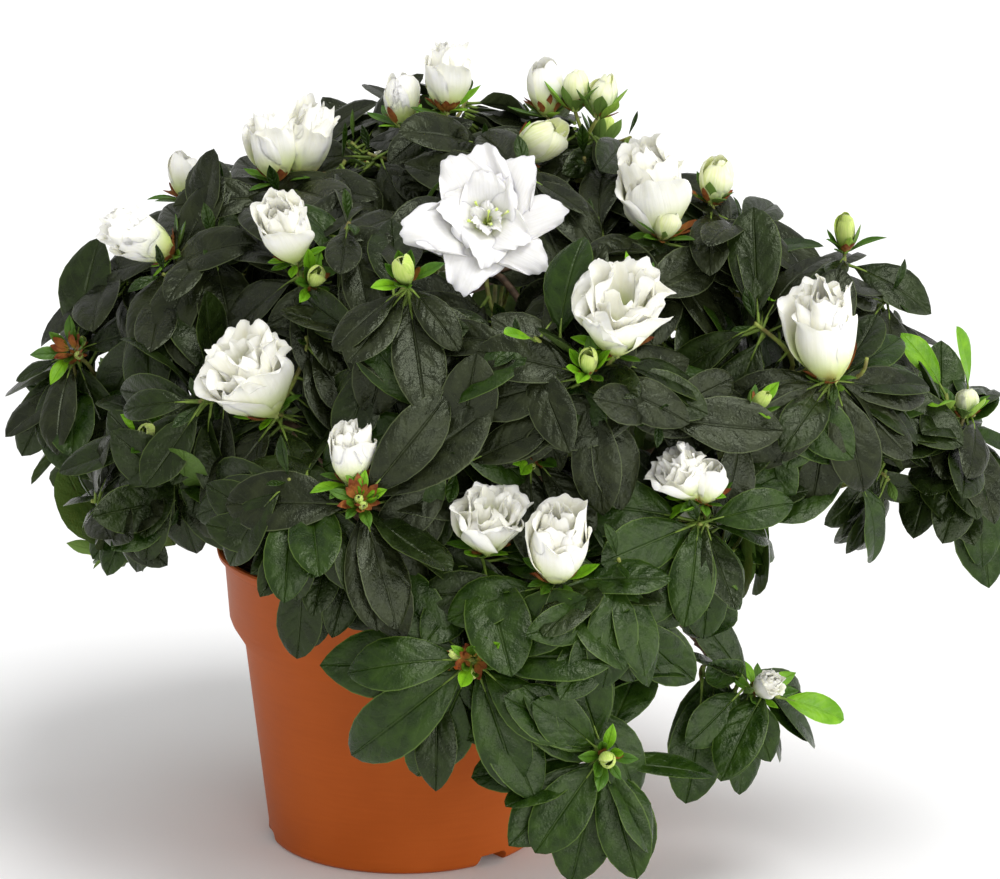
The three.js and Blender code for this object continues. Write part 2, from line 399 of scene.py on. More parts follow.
@dataclass(frozen=True)
class PetalFinish:
    """A thin petal, finely streaked along its length and yellow-green towards its foot.

    Attributes:
        name: the material's name.
        body: its broad part.
        streak: its fine streaks.
        foot: its foot.
        foot_start: where along it the foot's colour begins to fade.
        foot_end: where that colour has gone.
        relief: how deep its creases are.
        glow: how much light passes through it.
    """

    name: str
    body: Colour
    streak: Colour
    foot: Colour
    foot_start: float = 0.0
    foot_end: float = 0.36
    relief: float = 0.7 * MM
    glow: float = 0.6

    def material(self) -> bpy.types.Material:
        """Makes the material."""
        graph = Graph(self.name)
        whole, along = graph.sheet_place()
        out = whole - whole.above(UNDERSIDE / 2) * UNDERSIDE
        streaks = graph.add("ShaderNodeCombineXYZ", inputs={0: out * 9.0, 1: along * 1.3})
        lines = graph.grain(1.6, 3.0, streaks)
        blotch = graph.grain(120.0, 2.0)
        white = graph.mix((lines * 0.6 + blotch * 0.4).rise(0.35, 0.62), self.streak, self.body)
        colour = graph.mix((1.0 - along.rise(self.foot_start, self.foot_end)) * 0.95, white, self.foot)
        relief = graph.bump(lines * 0.3 + graph.grain(230.0, 3.0) * 0.7, self.relief, 0.5)
        return graph.surface(
            Base_Color=colour,
            Roughness=0.62,
            Normal=relief,
            Specular_IOR_Level=0.25,
            Subsurface_Weight=self.glow,
            Subsurface_Radius=(0.0005, 0.0005, 0.0004),
            Subsurface_Scale=1.0,
        )


@dataclass(frozen=True)
class ScaleFinish:
    """A papery scale of a bud: green at its foot, then orange, and rust-red at its end."""

    foot: Colour = (0.30, 0.30, 0.035)
    belly: Colour = (0.36, 0.13, 0.03)
    tip: Colour = (0.17, 0.035, 0.014)
    relief: float = 0.3 * MM

    def material(self) -> bpy.types.Material:
        """Makes the material."""
        graph = Graph("bud scale")
        _, along = graph.sheet_place()
        blotch = graph.grain(500.0, 3.0)
        warm = graph.mix((along + (blotch - 0.5) * 0.9).rise(0.35, 0.95), self.belly, self.tip)
        colour = graph.mix(1.0 - along.rise(0.0, 0.35), warm, self.foot)
        relief = graph.bump(graph.grain(1400.0, 3.0), self.relief, 0.7)
        return graph.surface(Base_Color=colour, Roughness=0.55, Normal=relief, Specular_IOR_Level=0.3)


@dataclass(frozen=True)
class StudioFinish:
    """The plain pale floor."""

    colour: Colour = (0.93, 0.93, 0.93)

    def material(self) -> bpy.types.Material:
        """Makes the material."""
        return Graph("studio floor").surface(Base_Color=self.colour, Roughness=0.9, Specular_IOR_Level=0.1)


class Tint(Enum):
    """The colours of leaf that the sprays are dealt."""

    DARK = LeafFinish(
        name="leaf dark",
        colour=(0.0145, 0.0185, 0.006),
        deep=(0.006, 0.008, 0.003),
        under=(0.06, 0.08, 0.03),
        rib=(0.12, 0.15, 0.06),
        roughness=0.30,
    )
    DEEP = LeafFinish(
        name="leaf deep",
        colour=(0.0125, 0.023, 0.0035),
        deep=(0.006, 0.011, 0.002),
        under=(0.06, 0.10, 0.02),
        rib=(0.12, 0.17, 0.04),
        roughness=0.31,
    )
    FRESH = LeafFinish(
        name="leaf fresh",
        colour=(0.018, 0.042, 0.003),
        deep=(0.008, 0.022, 0.002),
        under=(0.07, 0.13, 0.02),
        rib=(0.14, 0.22, 0.04),
        roughness=0.32,
    )
    YOUNG = LeafFinish(
        name="leaf young",
        colour=(0.06, 0.145, 0.008),
        deep=(0.03, 0.09, 0.005),
        under=(0.15, 0.26, 0.05),
        rib=(0.30, 0.45, 0.07),
        roughness=0.40,
        quilt=0.3 * MM,
    )
    BRIGHT = LeafFinish(
        name="leaf bright",
        colour=(0.17, 0.38, 0.010),
        deep=(0.10, 0.26, 0.007),
        under=(0.28, 0.46, 0.06),
        rib=(0.45, 0.66, 0.10),
        roughness=0.42,
        quilt=0.4 * MM,
    )


# The open bloom's petals are a cooler, greyer white than the cups': the cooler tint is their own, the grey is
# painted shade that tones down how brightly their open faces are lit.
OPEN_PETAL = PetalFinish(
    name="petal",
    body=(0.79, 0.78, 0.77),
    streak=(0.74, 0.73, 0.71),
    foot=(0.74, 0.79, 0.36),
    foot_end=0.6,
)
CUP_PETAL = PetalFinish(
    name="petal of a cup",
    body=(0.95, 0.94, 0.855),
    streak=(0.91, 0.895, 0.79),
    foot=(0.55, 0.67, 0.15),
    foot_start=0.2,
    foot_end=0.8,
)
PALE_PETAL = PetalFinish(
    name="petal of a bud",
    body=(0.90, 0.92, 0.66),
    streak=(0.80, 0.85, 0.45),
    foot=(0.44, 0.60, 0.12),
    foot_start=0.1,
    foot_end=0.85,
)
GREEN_BUD = PetalFinish(
    name="green bud",
    body=(0.56, 0.66, 0.20),
    streak=(0.42, 0.56, 0.11),
    foot=(0.19, 0.38, 0.03),
    foot_end=0.75,
)
THREAD = PetalFinish(
    name="thread",
    body=(0.80, 0.84, 0.45),
    streak=(0.72, 0.78, 0.35),
    foot=(0.60, 0.76, 0.16),
)
STALK = GrainFinish(name="leaf stalk", dark=(0.10, 0.16, 0.02), pale=(0.19, 0.28, 0.04))
YOUNG_TWIG = GrainFinish(name="young twig", dark=(0.16, 0.14, 0.04), pale=(0.27, 0.33, 0.06))
WOODY_TWIG = GrainFinish(name="woody twig", dark=(0.06, 0.035, 0.02), pale=(0.16, 0.10, 0.06))
BARK = GrainFinish(
    name="bark",
    dark=(0.045, 0.026, 0.015),
    pale=(0.20, 0.135, 0.085),
    broad=(160.0, 5.0),
    fine=(900.0, 4.0),
    share=0.55,
    contrast=(0.36, 0.64),
    raised=0.4,
    relief=0.6 * MM,
    strength=0.8,
    roughness=0.85,
    shine=0.25,
)
COMPOST = GrainFinish(
    name="compost",
    dark=(0.012, 0.007, 0.004),
    pale=(0.07, 0.038, 0.02),
    broad=(420.0, 6.0),
    fine=(1500.0, 2.0),
    share=0.75,
    contrast=(0.38, 0.66),
    raised=0.6,
    relief=1.2 * MM,
    strength=0.8,
    roughness=0.95,
    shine=0.2,
)


# ---- Shapes and the pieces that they are joined into ----


@dataclass(frozen=True)
class Shape:
    """A small shape that is used many times.

    Attributes:
        points: where each point lies on the flat sheet or straight rod that the shape is bent from.
        corners: the points of all faces, one face after another.
        sizes: how many corners each face has.
        lower: whether each face is on the underside.
    """

    points: Array
    corners: Array
    sizes: Array
    lower: Array

    @classmethod
    def of(cls, bm: bmesh.types.BMesh) -> "Shape":
        """Takes the shape of a bmesh, and frees it. Faces with material index 1 are on the underside."""
        bm.verts.index_update()
        points = np.array([vert.co for vert in bm.verts], dtype=float)
        corners = np.array([vert.index for face in bm.faces for vert in face.verts])
        sizes = np.array([len(face.verts) for face in bm.faces])
        lower = np.array([face.material_index == 1 for face in bm.faces])
        bm.free()
        return cls(points, corners, sizes, lower)


def sheet(columns: int, rows: int, columns_below: int, pinched: bool) -> Shape:
    """Makes a thin closed sheet.

    Args:
        columns: faces across its upper side.
        rows: faces along it.
        columns_below: faces across its underside.
        pinched: whether both of its ends come to a point.

    Returns:
        The sheet. Its points are -1 to 1 across, 0 to 1 along, and 1 on the upper side, -1 on the lower and
        0 on the rim.
    """
    bm = bmesh.new()
    for side, count in ((1.0, columns), (-1.0, columns_below)):
        made = bmesh.ops.create_grid(bm, x_segments=count, y_segments=rows, size=1.0)["verts"]
        faces = {face for vert in made for face in vert.link_faces}
        for vert in made:
            x, y = vert.co.x, (vert.co.y + 1.0) / 2.0
            at_end = min(y, 1.0 - y) < RIM
            rim = at_end or abs(x) > 1.0 - RIM
            vert.co = (0.0 if pinched and at_end else x, y, 0.0 if rim else side)
        for face in faces:
            face.material_index = int(side < 0.0)
        if side < 0.0:
            bmesh.ops.reverse_faces(bm, faces=list(faces))
    bmesh.ops.remove_doubles(bm, verts=bm.verts, dist=FLAT_SEAM)
    return Shape.of(bm)


def rod(sides: int, steps: int) -> Shape:
    """Makes a closed rod of radius 1 that stands from 0 to 1, cut across into steps."""
    bm = bmesh.new()
    bmesh.ops.create_cone(bm, cap_ends=True, segments=sides, radius1=1.0, radius2=1.0, depth=1.0)
    bmesh.ops.translate(bm, verts=bm.verts, vec=(0.0, 0.0, 0.5))
    for step in range(1, steps):
        everything = bm.verts[:] + bm.edges[:] + bm.faces[:]
        height = Vector((0.0, 0.0, step / steps))
        bmesh.ops.bisect_plane(bm, geom=everything, plane_co=height, plane_no=(0.0, 0.0, 1.0))
    return Shape.of(bm)


def along_path(shape: Shape, path: Array, radii: Array) -> Array:
    """Bends a rod along a path.

    Args:
        shape: the rod.
        path: the points of the path, one for each ring of the rod.
        radii: the rod's radius at each of them.

    Returns:
        The rod's points in place.
    """
    tangents = np.gradient(path, axis=0)
    tangents /= np.linalg.norm(tangents, axis=1)[:, None]
    hint = across(unit(path[-1] - path[0]), ROD_HINT)
    first = hint - tangents * (tangents @ hint)[:, None]
    first /= np.linalg.norm(first, axis=1)[:, None]
    second = np.cross(tangents, first)
    ring = np.rint(shape.points[:, 2] * (len(path) - 1)).astype(int)
    x, y = shape.points[:, :1], shape.points[:, 1:2]
    return path[ring] + (x * first[ring] + y * second[ring]) * radii[ring][:, None]


@dataclass
class Joined:
    """A piece that is joined from many small shapes of one kind.

    Attributes:
        name: the piece's name.
        slot: the name of a material slot; it is not used.
        points: the points in place, one array for each use of a shape.
        corners: the faces' points, counted through the whole piece.
        sizes: how many corners each face has.
        places: where each corner lies on the flat sheet.
        rims: which points lie on a sheet's rim.
        held: how many points the piece holds so far.
    """

    name: str
    slot: str
    points: list[Array] = field(default_factory=list)
    corners: list[Array] = field(default_factory=list)
    sizes: list[Array] = field(default_factory=list)
    places: list[Array] = field(default_factory=list)
    rims: list[Array] = field(default_factory=list)
    held: int = 0

    def add(self, shape: Shape, points: Array) -> None:
        """Adds one use of a shape, with its points in place."""
        self.points.append(points)
        self.corners.append(shape.corners + self.held)
        self.sizes.append(shape.sizes)
        place = shape.points[shape.corners][:, :2].copy()
        place[:, 0] += np.repeat(shape.lower, shape.sizes) * UNDERSIDE
        self.places.append(place)
        self.rims.append(np.abs(shape.points[:, 2]) < RIM)
        self.held += len(points)

    def build(self, material: bpy.types.Material, stands_for: list[str]) -> None:
        """Joins the shapes into one piece.

        Args:
            material: its finish.
            stands_for: the CAD nodes that it takes the place of.
        """
        mesh = bpy.data.meshes.new(self.name)
        points, corners = np.concatenate(self.points), np.concatenate(self.corners)
        sizes = np.concatenate(self.sizes)
        mesh.vertices.add(len(points))
        mesh.vertices.foreach_set("co", points.astype(np.float32).ravel())
        mesh.loops.add(len(corners))
        mesh.loops.foreach_set("vertex_index", corners.astype(np.int32))
        mesh.polygons.add(len(sizes))
        starts = np.concatenate(([0], np.cumsum(sizes)[:-1]))
        mesh.polygons.foreach_set("loop_start", starts.astype(np.int32))
        mesh.update(calc_edges=True)
        layer = mesh.uv_layers.new(name=BLADE)
        layer.data.foreach_set("uv", np.concatenate(self.places).astype(np.float32).ravel())
        mesh.shade_smooth()
        ends = np.empty(len(mesh.edges) * 2, dtype=np.int32)
        mesh.edges.foreach_get("vertices", ends)
        sharp = np.concatenate(self.rims)[ends.reshape(-1, 2)].all(axis=1)
        marks = mesh.attributes.new("sharp_edge", "BOOLEAN", "EDGE")
        marks.data.foreach_set("value", sharp)
        mesh.validate()
        finish_piece(self.name, mesh, material, stands_for)
        log.info("%s: %d shapes, %d triangles", self.name, len(self.points), int((sizes - 2).sum()))


def put(name: str, data: bpy.types.ID) -> bpy.types.Object:
    """Puts a mesh, light or camera into the scene."""
    thing = bpy.data.objects.new(name, data)
    bpy.context.scene.collection.objects.link(thing)
    return thing


def mesh_of(bm: bmesh.types.BMesh, name: str) -> bpy.types.Mesh:
    """Turns a bmesh into a mesh, and frees it."""
    mesh = bpy.data.meshes.new(name)
    bm.to_mesh(mesh)
    bm.free()
    return mesh


def spun(profile: list[tuple[float, float]], steps: int) -> bmesh.types.BMesh:
    """Spins a profile into a closed solid.

    Args:
        profile: radii and heights, which start and end on the axis.
        steps: how many steps the full turn has.

    Returns:
        The solid, with its faces pointing outwards.
    """
    bm = bmesh.new()
    verts = [bm.verts.new((radius, 0.0, height)) for radius, height in profile]
    edges = [bm.edges.new(pair) for pair in zip(verts, verts[1:])]
    still = (0.0, 0.0, 0.0)
    bmesh.ops.spin(
        bm,
        geom=verts + edges,
        cent=still,
        axis=(0.0, 0.0, 1.0),
        dvec=still,
        angle=math.tau,
        steps=steps,
        use_merge=True,
    )
    bmesh.ops.remove_doubles(bm, verts=bm.verts, dist=SEAM)
    bmesh.ops.recalc_face_normals(bm, faces=bm.faces)
    return bm


def finish_piece(
    name: str, mesh: bpy.types.Mesh, material: bpy.types.Material, stands_for: list[str]
) -> None:
    """Puts a mesh into the scene as a piece.

    Args:
        name: the piece's name.
        mesh: its mesh, in place.
        material: its finish.
        stands_for: the CAD nodes that it takes the place of.
    """
    piece = put(name, mesh)
    mesh.materials.clear()
    mesh.materials.append(material)
    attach(piece, BODY)
    if stands_for:
        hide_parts(*stands_for)


def settled(piece_mesh: bpy.types.Mesh, *modifiers: tuple[str, dict]) -> bpy.types.Mesh:
    """Applies modifiers to a mesh.

    Args:
        piece_mesh: the mesh.
        modifiers: the kind and settings of each.

    Returns:
        The new mesh.
    """
    holder = put("holder", piece_mesh)
    for kind, settings in modifiers:
        modifier = holder.modifiers.new(kind, kind)
        for key, value in settings.items():
            setattr(modifier, key, value)
    graph = bpy.context.evaluated_depsgraph_get()
    mesh = bpy.data.meshes.new_from_object(holder.evaluated_get(graph))
    bpy.data.objects.remove(holder)
    return mesh


# ---- The pot ----


@dataclass
class Pot:
    """A grower's pot: a tapered body under a collar, with a flared lip and drainage notches in its foot."""

    wall: float = 1.6 * MM
    floor: float = 2.4 * MM
    floor_lead: float = 4.0 * MM
    floor_rise: float = 2.5 * MM
    lip_depth: float = 2.2 * MM
    lip_flare: float = 2.3 * MM
    lip_top: float = 1.8 * MM
    lip_tuck: float = 0.35 * MM
    lip_edge: float = 0.5 * MM
    lip_side: float = 0.7 * MM
    lip_blend: float = 2.4 * MM
    collar_depth: float = 27.0 * MM
    collar_draw: float = 1.8 * MM
    collar_gap: float = 0.4 * MM
    collar_edge: float = 1.2 * MM
    collar_lead: float = 1.0 * MM
    collar_blend: float = 2.2 * MM
    collar_foot: float = 0.6 * MM
    shoulder: float = 7.0 * MM
    shoulder_round: float = 2.0 * MM
    waist_step: float = 9.6 * MM
    foot_radius: float = 48.0 * MM
    foot_line: float = 5.0 * MM
    base_round: float = 2.5 * MM
    base_steps: int = 4
    steps: int = 144
    notches: int = 3
    notch_turn: float = -50.0
    notch_width: float = 15.0 * MM
    notch_height: float = 3.8 * MM
    notch_depth: float = 14.0 * MM
    notch_inset: float = 2.0 * MM
    notch_slope: float = 0.9
    notch_round: float = 0.6
    edge_round: float = 0.45 * MM
    round_above: float = 0.7
    sharp_angle: float = 38.0

    def __post_init__(self) -> None:
        """Takes the height and the lip's radius from the frame."""
        low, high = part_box("pot")
        self.height = high.z - low.z
        self.lip_radius = (high.x - low.x) / 2

    def outside(self) -> list[tuple[float, float]]:
        """Returns the outer profile from the base to the lip, as radius and height."""
        top, lip = self.height, self.lip_radius
        foot, rounding = self.foot_radius, self.base_round
        collar_top = lip - self.lip_flare - self.collar_gap
        collar_foot = collar_top - self.collar_draw
        waist = lip - self.waist_step
        line = top - self.collar_depth
        points = []
        for step in range(self.base_steps + 1):
            turn = math.radians(90.0 * step / self.base_steps)
            points.append((foot - rounding + rounding * math.sin(turn), rounding * (1 - math.cos(turn))))
        points += [
            (foot, self.foot_line),
            (waist, line - self.shoulder - self.shoulder_round),
            (waist + self.lip_edge, line - self.shoulder),
            (collar_foot - self.collar_foot, line - self.collar_gap),
            (collar_foot, line + self.collar_edge),
            (collar_foot + self.lip_tuck, line + self.collar_blend),
            (collar_top, top - self.lip_depth - self.lip_blend),
            (lip - self.lip_tuck, top - self.lip_depth),
            (lip, top - self.lip_side),
            (lip - self.lip_edge, top),
        ]
        return points

    def inside(self) -> list[tuple[float, float]]:
        """Returns the inner profile from the lip down to the floor's middle."""
        top, lip, wall = self.height, self.lip_radius, self.wall
        line = top - self.collar_depth
        waist = lip - self.waist_step
        return [
            (lip - self.lip_top, top),
            (lip - self.lip_flare - wall, top - self.lip_depth),
            (lip - self.lip_flare - self.collar_draw - wall, line + self.collar_lead),
            (waist - wall, line - self.shoulder),
            (self.foot_radius - wall - self.collar_lead, self.floor + self.floor_rise),
            (self.foot_radius - wall - self.floor_lead, self.floor),
            (0.0, self.floor),
        ]

    def shell(self) -> bpy.types.Mesh:
        """Spins the profile into a closed wall."""
        return mesh_of(spun([(0.0, 0.0), *self.outside(), *self.inside()], self.steps), "pot shell")

    def notch(self, bearing: float) -> bpy.types.Mesh:
        """Makes the block that one drainage notch is cut with, sloped at one end and rounded at the other."""
        bm = bmesh.new()
        bmesh.ops.create_cube(bm, size=1.0)
        high = self.notch_height
        for vert in bm.verts:
            x, y = vert.co.x * self.notch_depth, vert.co.y * self.notch_width
            vert.co = (x, y, high if vert.co.z > 0 else -self.notch_inset)
            if vert.co.z > 0 and vert.co.y < 0:
                vert.co.y += high * self.notch_slope
        corner = [edge for edge in bm.edges if all(vert.co.z > 0 and vert.co.y > 0 for vert in edge.verts)]
        bmesh.ops.bevel(
            bm,
            geom=corner,
            offset=high * self.notch_round,
            affect="EDGES",
            segments=5,
            profile=0.5,
            material=-1,
        )
        inward = Matrix.Translation((self.foot_radius - self.notch_inset, 0.0, 0.0))
        turn = Matrix.Rotation(math.radians(bearing), 4, "Z")
        bmesh.ops.transform(bm, verts=bm.verts, matrix=turn @ inward)
        bmesh.ops.recalc_face_normals(bm, faces=bm.faces)
        return mesh_of(bm, "notch")

    def cutters(self) -> bpy.types.Object:
        """Joins the blocks that the drainage notches are cut with."""
        bm = bmesh.new()
        for number in range(self.notches):
            bm.from_mesh(self.notch(self.notch_turn + 360.0 * number / self.notches))
        return put("notch cutters", mesh_of(bm, "notch cutters"))

    def build(self) -> None:
        """Builds and dresses the pot."""
        cutter = self.cutters()
        cut = ("BOOLEAN", {"operation": "DIFFERENCE", "solver": "EXACT", "object": cutter})
        rounding = {"width": self.edge_round, "segments": 2, "limit_method": "ANGLE"}
        rounding["angle_limit"] = self.round_above
        mesh = settled(self.shell(), cut, ("BEVEL", rounding))
        bpy.data.objects.remove(cutter)
        mesh.shade_smooth()
        mesh.set_sharp_from_angle(angle=math.radians(self.sharp_angle))
        finish_piece("moulded_pot", mesh, PlasticFinish().material(), ["pot"])
        log.info("moulded_pot: %d faces", len(mesh.polygons))


@dataclass
class Compost:
    """The root ball, with a rough crumbly top."""

    rings: int = 22
    spokes: int = 72
    gap: float = 0.4 * MM
    shoulder: float = 2.5 * MM
    drop: float = 1.2 * MM
    relief: float = 2.2 * MM
    broad: float = 160.0
    fine: float = 520.0
    crumbs: int = 700
    crumb_sizes: tuple[float, float] = (0.5, 1.7)
    crumb_stretch: tuple[float, float] = (0.6, 1.3)
    crumb_knobs: tuple[float, float] = (0.8, 1.2)
    crumb_reach: float = 0.97
    crumb_sits: float = 0.2
    seed: int = 11

    def height_at(self, x: float, y: float) -> float:
        """Returns how far the rough top stands above or below its level."""
        place = Vector((x, y, 0.0))
        return self.relief * (noise.noise(place * self.broad) * 0.7 + noise.noise(place * self.fine) * 0.3)

    def side(self, wall: list[tuple[float, float]], foot: float, level: float) -> list[tuple[float, float]]:
        """Returns the profile of its side, a little inside the pot's wall, as radius and height."""
        rising = sorted((height, radius) for radius, height in wall)
        heights, radii = zip(*rising)
        stops = [foot, *(height for height in heights if foot < height < level - self.shoulder)]
        stops.append(level - self.shoulder)
        return [(float(np.interp(height, heights, radii)) - self.gap, height) for height in stops]

    def build(self, pot: Pot) -> None:
        """Builds and dresses the compost."""
        low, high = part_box("root_ball")
        level = high.z - self.drop
        side = self.side(pot.inside()[1:-1], max(low.z, pot.floor + self.gap), level)
        radius = side[-1][0]
        profile = [(0.0, side[0][1]), *side]
        profile += [(radius * (1 - step / self.rings), level) for step in range(self.rings + 1)]
        bm = spun(profile, self.spokes)
        for vert in bm.verts:
            if vert.co.z > level - self.shoulder / 2:
                vert.co.z += self.height_at(vert.co.x, vert.co.y)
        mesh = mesh_of(bm, "compost bed")
        mesh.shade_smooth()
        material = COMPOST.material()
        finish_piece("compost_bed", mesh, material, ["root_ball"])
        self.scatter(level, radius).build(material, [])

    def scatter(self, level: float, radius: float) -> Joined:
        """Strews crumbs over the top, which lies at a level and has a radius."""
        bm = bmesh.new()
        bmesh.ops.create_icosphere(bm, subdivisions=1, radius=1.0)
        lump = Shape.of(bm)
        crumbs = Joined("compost_crumbs", "compost")
        rng = np.random.default_rng(self.seed)
        for _ in range(self.crumbs):
            reach = radius * self.crumb_reach * math.sqrt(rng.random())
            turn = rng.uniform(0.0, math.tau)
            x, y = reach * math.cos(turn), reach * math.sin(turn)
            size = rng.uniform(*self.crumb_sizes) * MM
            stretch = rng.uniform(*self.crumb_stretch, 3)
            knobs = rng.uniform(*self.crumb_knobs, (len(lump.points), 1))
            points = lump.points * size * stretch * knobs
            crumbs.add(lump, points + (x, y, level + self.height_at(x, y) + size * self.crumb_sits))
        return crumbs


# ---- Leaves, petals and scales ----


@dataclass(frozen=True)
class LeafForm:
    """One way that a leaf is bent. Its length is 1.

    Attributes:
        curl: how far its end is bent down, in radians.
        fold: how steeply its halves rise from the rib.
        wave: how deep its margin waves.
        twist: how far it turns about its rib, in radians.
        phase: where its waves start.
        width: how wide it is.
        narrow: above 1 for a slimmer outline, below 1 for a fuller one.
        unfold: how much of the fold is gone at the tip.
        waves: how many waves run along it.
        offbeat: how far one margin's waves lag behind the other's, in radians.
        bulge: how far each half rises between rib and margin.
        droop: how far the margin itself drops.
        groove: how deep the rib is sunk.
        keel: how far the rib stands out underneath, at the foot.
        thickness: half of the blade's.
        late: above 1 where it bends more towards its end.
        level: how far along it the twist changes sides.
        spine_points: how many points its bend is worked out at.
        stations: where its cross rows lie along it.
        outline: how wide it is at each of them, against its widest.
    """

    curl: float
    fold: float
    wave: float
    twist: float
    phase: float
    width: float
    narrow: float
    unfold: float = 0.35
    waves: float = 1.6
    offbeat: float = 0.8
    bulge: float = 0.030
    droop: float = 0.03
    groove: float = 0.016
    keel: float = 0.020
    thickness: float = 0.0045
    late: float = 1.15
    level: float = 0.3
    spine_points: int = 40
    stations: tuple[float, ...] = (0.0, 0.07, 0.17, 0.30, 0.43, 0.55, 0.67, 0.78, 0.88, 0.95, 1.0)
    outline: tuple[float, ...] = (0.0, 0.15, 0.42, 0.73, 0.92, 1.0, 0.96, 0.80, 0.53, 0.27, 0.0)

    def points(self, sheet_points: Array) -> Array:
        """Bends the flat sheet into the leaf: across, along and up from its foot."""
        u, v, side = sheet_points.T
        even = np.linspace(0.0, 1.0, len(self.stations))
        swell = np.interp(v, even, self.outline) ** self.narrow
        v = np.interp(v, even, self.stations)
        half = self.width / 2 * swell
        x = u * half
        z = np.abs(x) * (self.fold * (1.0 - self.unfold * v))
        z += self.bulge * (1.0 - (2.0 * np.abs(u) - 1.0) ** 2) * np.minimum(1.0, swell)
        beat = math.tau * v * self.waves + self.phase + np.sign(u) * self.offbeat
        z += self.wave * np.sin(beat) * u**2 * swell
        z -= self.droop * np.abs(u) ** 4 * swell
        keel = np.where(side < 0, self.keel, 0.0) * (1.0 - v)
        z += np.where(np.abs(u) < ON_RIB, -self.groove * swell - keel, 0.0)
        z += side * self.thickness
        turn = self.twist * (v - self.level)
        x, z = x * np.cos(turn) - z * np.sin(turn), x * np.sin(turn) + z * np.cos(turn)
        bend = self.curl * v**self.late
        spine = np.linspace(0.0, 1.0, self.spine_points)
        angles = self.curl * spine**self.late
        forward = np.concatenate(([0.0], np.cumsum(np.cos(angles[1:])) / (self.spine_points - 1)))
        down = np.concatenate(([0.0], np.cumsum(np.sin(angles[1:])) / (self.spine_points - 1)))
        y = np.interp(v, spine, forward) + z * np.sin(bend)
        z = z * np.cos(bend) - np.interp(v, spine, down)
        return np.stack((x, y, z), axis=1)


@dataclass(frozen=True)
class PetalForm:
    """One way that a petal is bent round the axis of its flower, in metres and degrees.

    Attributes:
        length: how long it is.
        width: how wide it is.
        leaving: how far it leans out from the axis at its foot.
        rising: how far it leans out further up.
        ending: how far it leans out at its lip.
        start: how far from the axis its foot is.
        ruffle: how deep its folds are.
        crenation: how deep the notches of its lip are, against its length.
        roundness: how far its corners are rounded, against its length.
        wrap: how closely it follows a ring round the axis, where less is flatter.
        frills: how many folds cross its lip.
        spiral: how far one of its sides stands out over the next petal.
        lift: how far up the axis its foot is.
        phase: where its folds start, in radians.
        skew: how far its lip swings round the axis.
        broadest: how far along it is widest.
        claw: how wide its foot is, against its widest.
        taper: how far it narrows again towards its lip.
        thickness: half of its own.
        nearest: how close to the axis it may come.
        bends: where along it the leans are reached, to past its end.
        line_points: how many points its bend is worked out at.
        notches: the waves of its lip, each as radians from the middle, share of the phase and depth.
    """

    length: float
    width: float
    leaving: float
    rising: float
    ending: float
    start: float
    ruffle: float
    crenation: float
    roundness: float
    wrap: float = 1.0
    frills: float = 1.0
    spiral: float = 0.0
    lift: float = 0.0
    phase: float = 0.0
    skew: float = 0.0
    broadest: float = 0.68
    claw: float = 0.28
    taper: float = 0.45
    thickness: float = 0.16 * MM
    nearest: float = 0.6 * MM
    bends: tuple[float, ...] = (0.0, 0.45, 0.8, 1.0, 1.15)
    line_points: int = 47
    notches: tuple[tuple[float, float, float], ...] = ((6.0, 2.1, 0.55), (14.0, 3.7, 0.45))

    def swing(self, u: Array, v: Array) -> Array:
        """Returns how far its folds stand out, as a share of their depth: more at the sides and lip."""
        late = ease(0.35, 1.0, v)
        swing = np.sin(self.frills * u * np.pi + self.phase) * late**1.5
        swing += 0.4 * np.sin(self.frills * 2.0 * u * np.pi + self.phase * 1.7) * ease(0.6, 1.0, v)
        swing += 0.8 * np.abs(u) ** 3 * np.sin(7.0 * v + self.phase * 0.9) * ease(0.2, 0.6, v)
        return swing + 0.32 * np.sin(12.0 * u + self.phase * 2.3) * ease(0.8, 1.0, v)

    def points(self, sheet_points: Array) -> Array:
        """Bends the flat sheet into a petal that grows from the origin, round the Z axis, towards +X."""
        u, v, side = sheet_points.T
        late = ease(0.35, 1.0, v)
        notch = sum(np.sin(u * many + self.phase * share) * depth for many, share, depth in self.notches)
        t = v * (1.0 - self.roundness * u**2) + self.crenation * notch * late
        rise = np.clip(v / self.broadest, 0.0, 1.0)
        fall = np.clip((v - self.broadest) / (1.0 - self.broadest), 0.0, 1.0)
        swell = self.claw + (1.0 - self.claw) * np.sin(np.pi / 2 * rise) ** 1.2
        half = self.width / 2 * swell * np.sqrt(1.0 - self.taper * fall**2)
        line = np.linspace(0.0, self.bends[-1], self.line_points)
        between = (self.leaving + self.rising) / 2
        leans = np.radians((self.leaving, between, self.rising, self.ending, self.ending))
        angles = np.interp(line, self.bends, leans)
        step = self.length * (line[1] - line[0])
        out = self.start + np.concatenate(([0.0], np.cumsum(np.sin(angles[1:])) * step))
        high = np.concatenate(([0.0], np.cumsum(np.cos(angles[1:])) * step))
        radius = np.maximum(np.interp(t, line, out), self.nearest)
        height = np.interp(t, line, high) + self.lift
        slope = np.interp(t, line, angles)
        push = self.ruffle * self.swing(u, v) + side * self.thickness + self.spiral * u * late
        bow = np.maximum(radius, self.start * 2.0) / self.wrap
        angle = u * half / bow + self.skew * late * 0.25
        x = radius - bow + (bow + push * np.cos(slope)) * np.cos(angle)
        y = (bow + push * np.cos(slope)) * np.sin(angle)
        return np.stack((x, y, height - push * np.sin(slope)), axis=1)


def turned(points: Array, angle: float) -> Array:
    """Turns points round the Z axis."""
    c, s = math.cos(angle), math.sin(angle)
    return points @ np.array(((c, s, 0.0), (-s, c, 0.0), (0.0, 0.0, 1.0)))


def standing(points: Array, foot: Array, axis: Array, spin: float) -> Array:
    """Stands points that were made round the Z axis on a foot, along an axis."""
    first = across(axis, UP if abs(axis[2]) < 0.95 else FORWARD)
    frame_ = np.stack((first, np.cross(axis, first), axis))
    return turned(points, spin) @ frame_ + foot


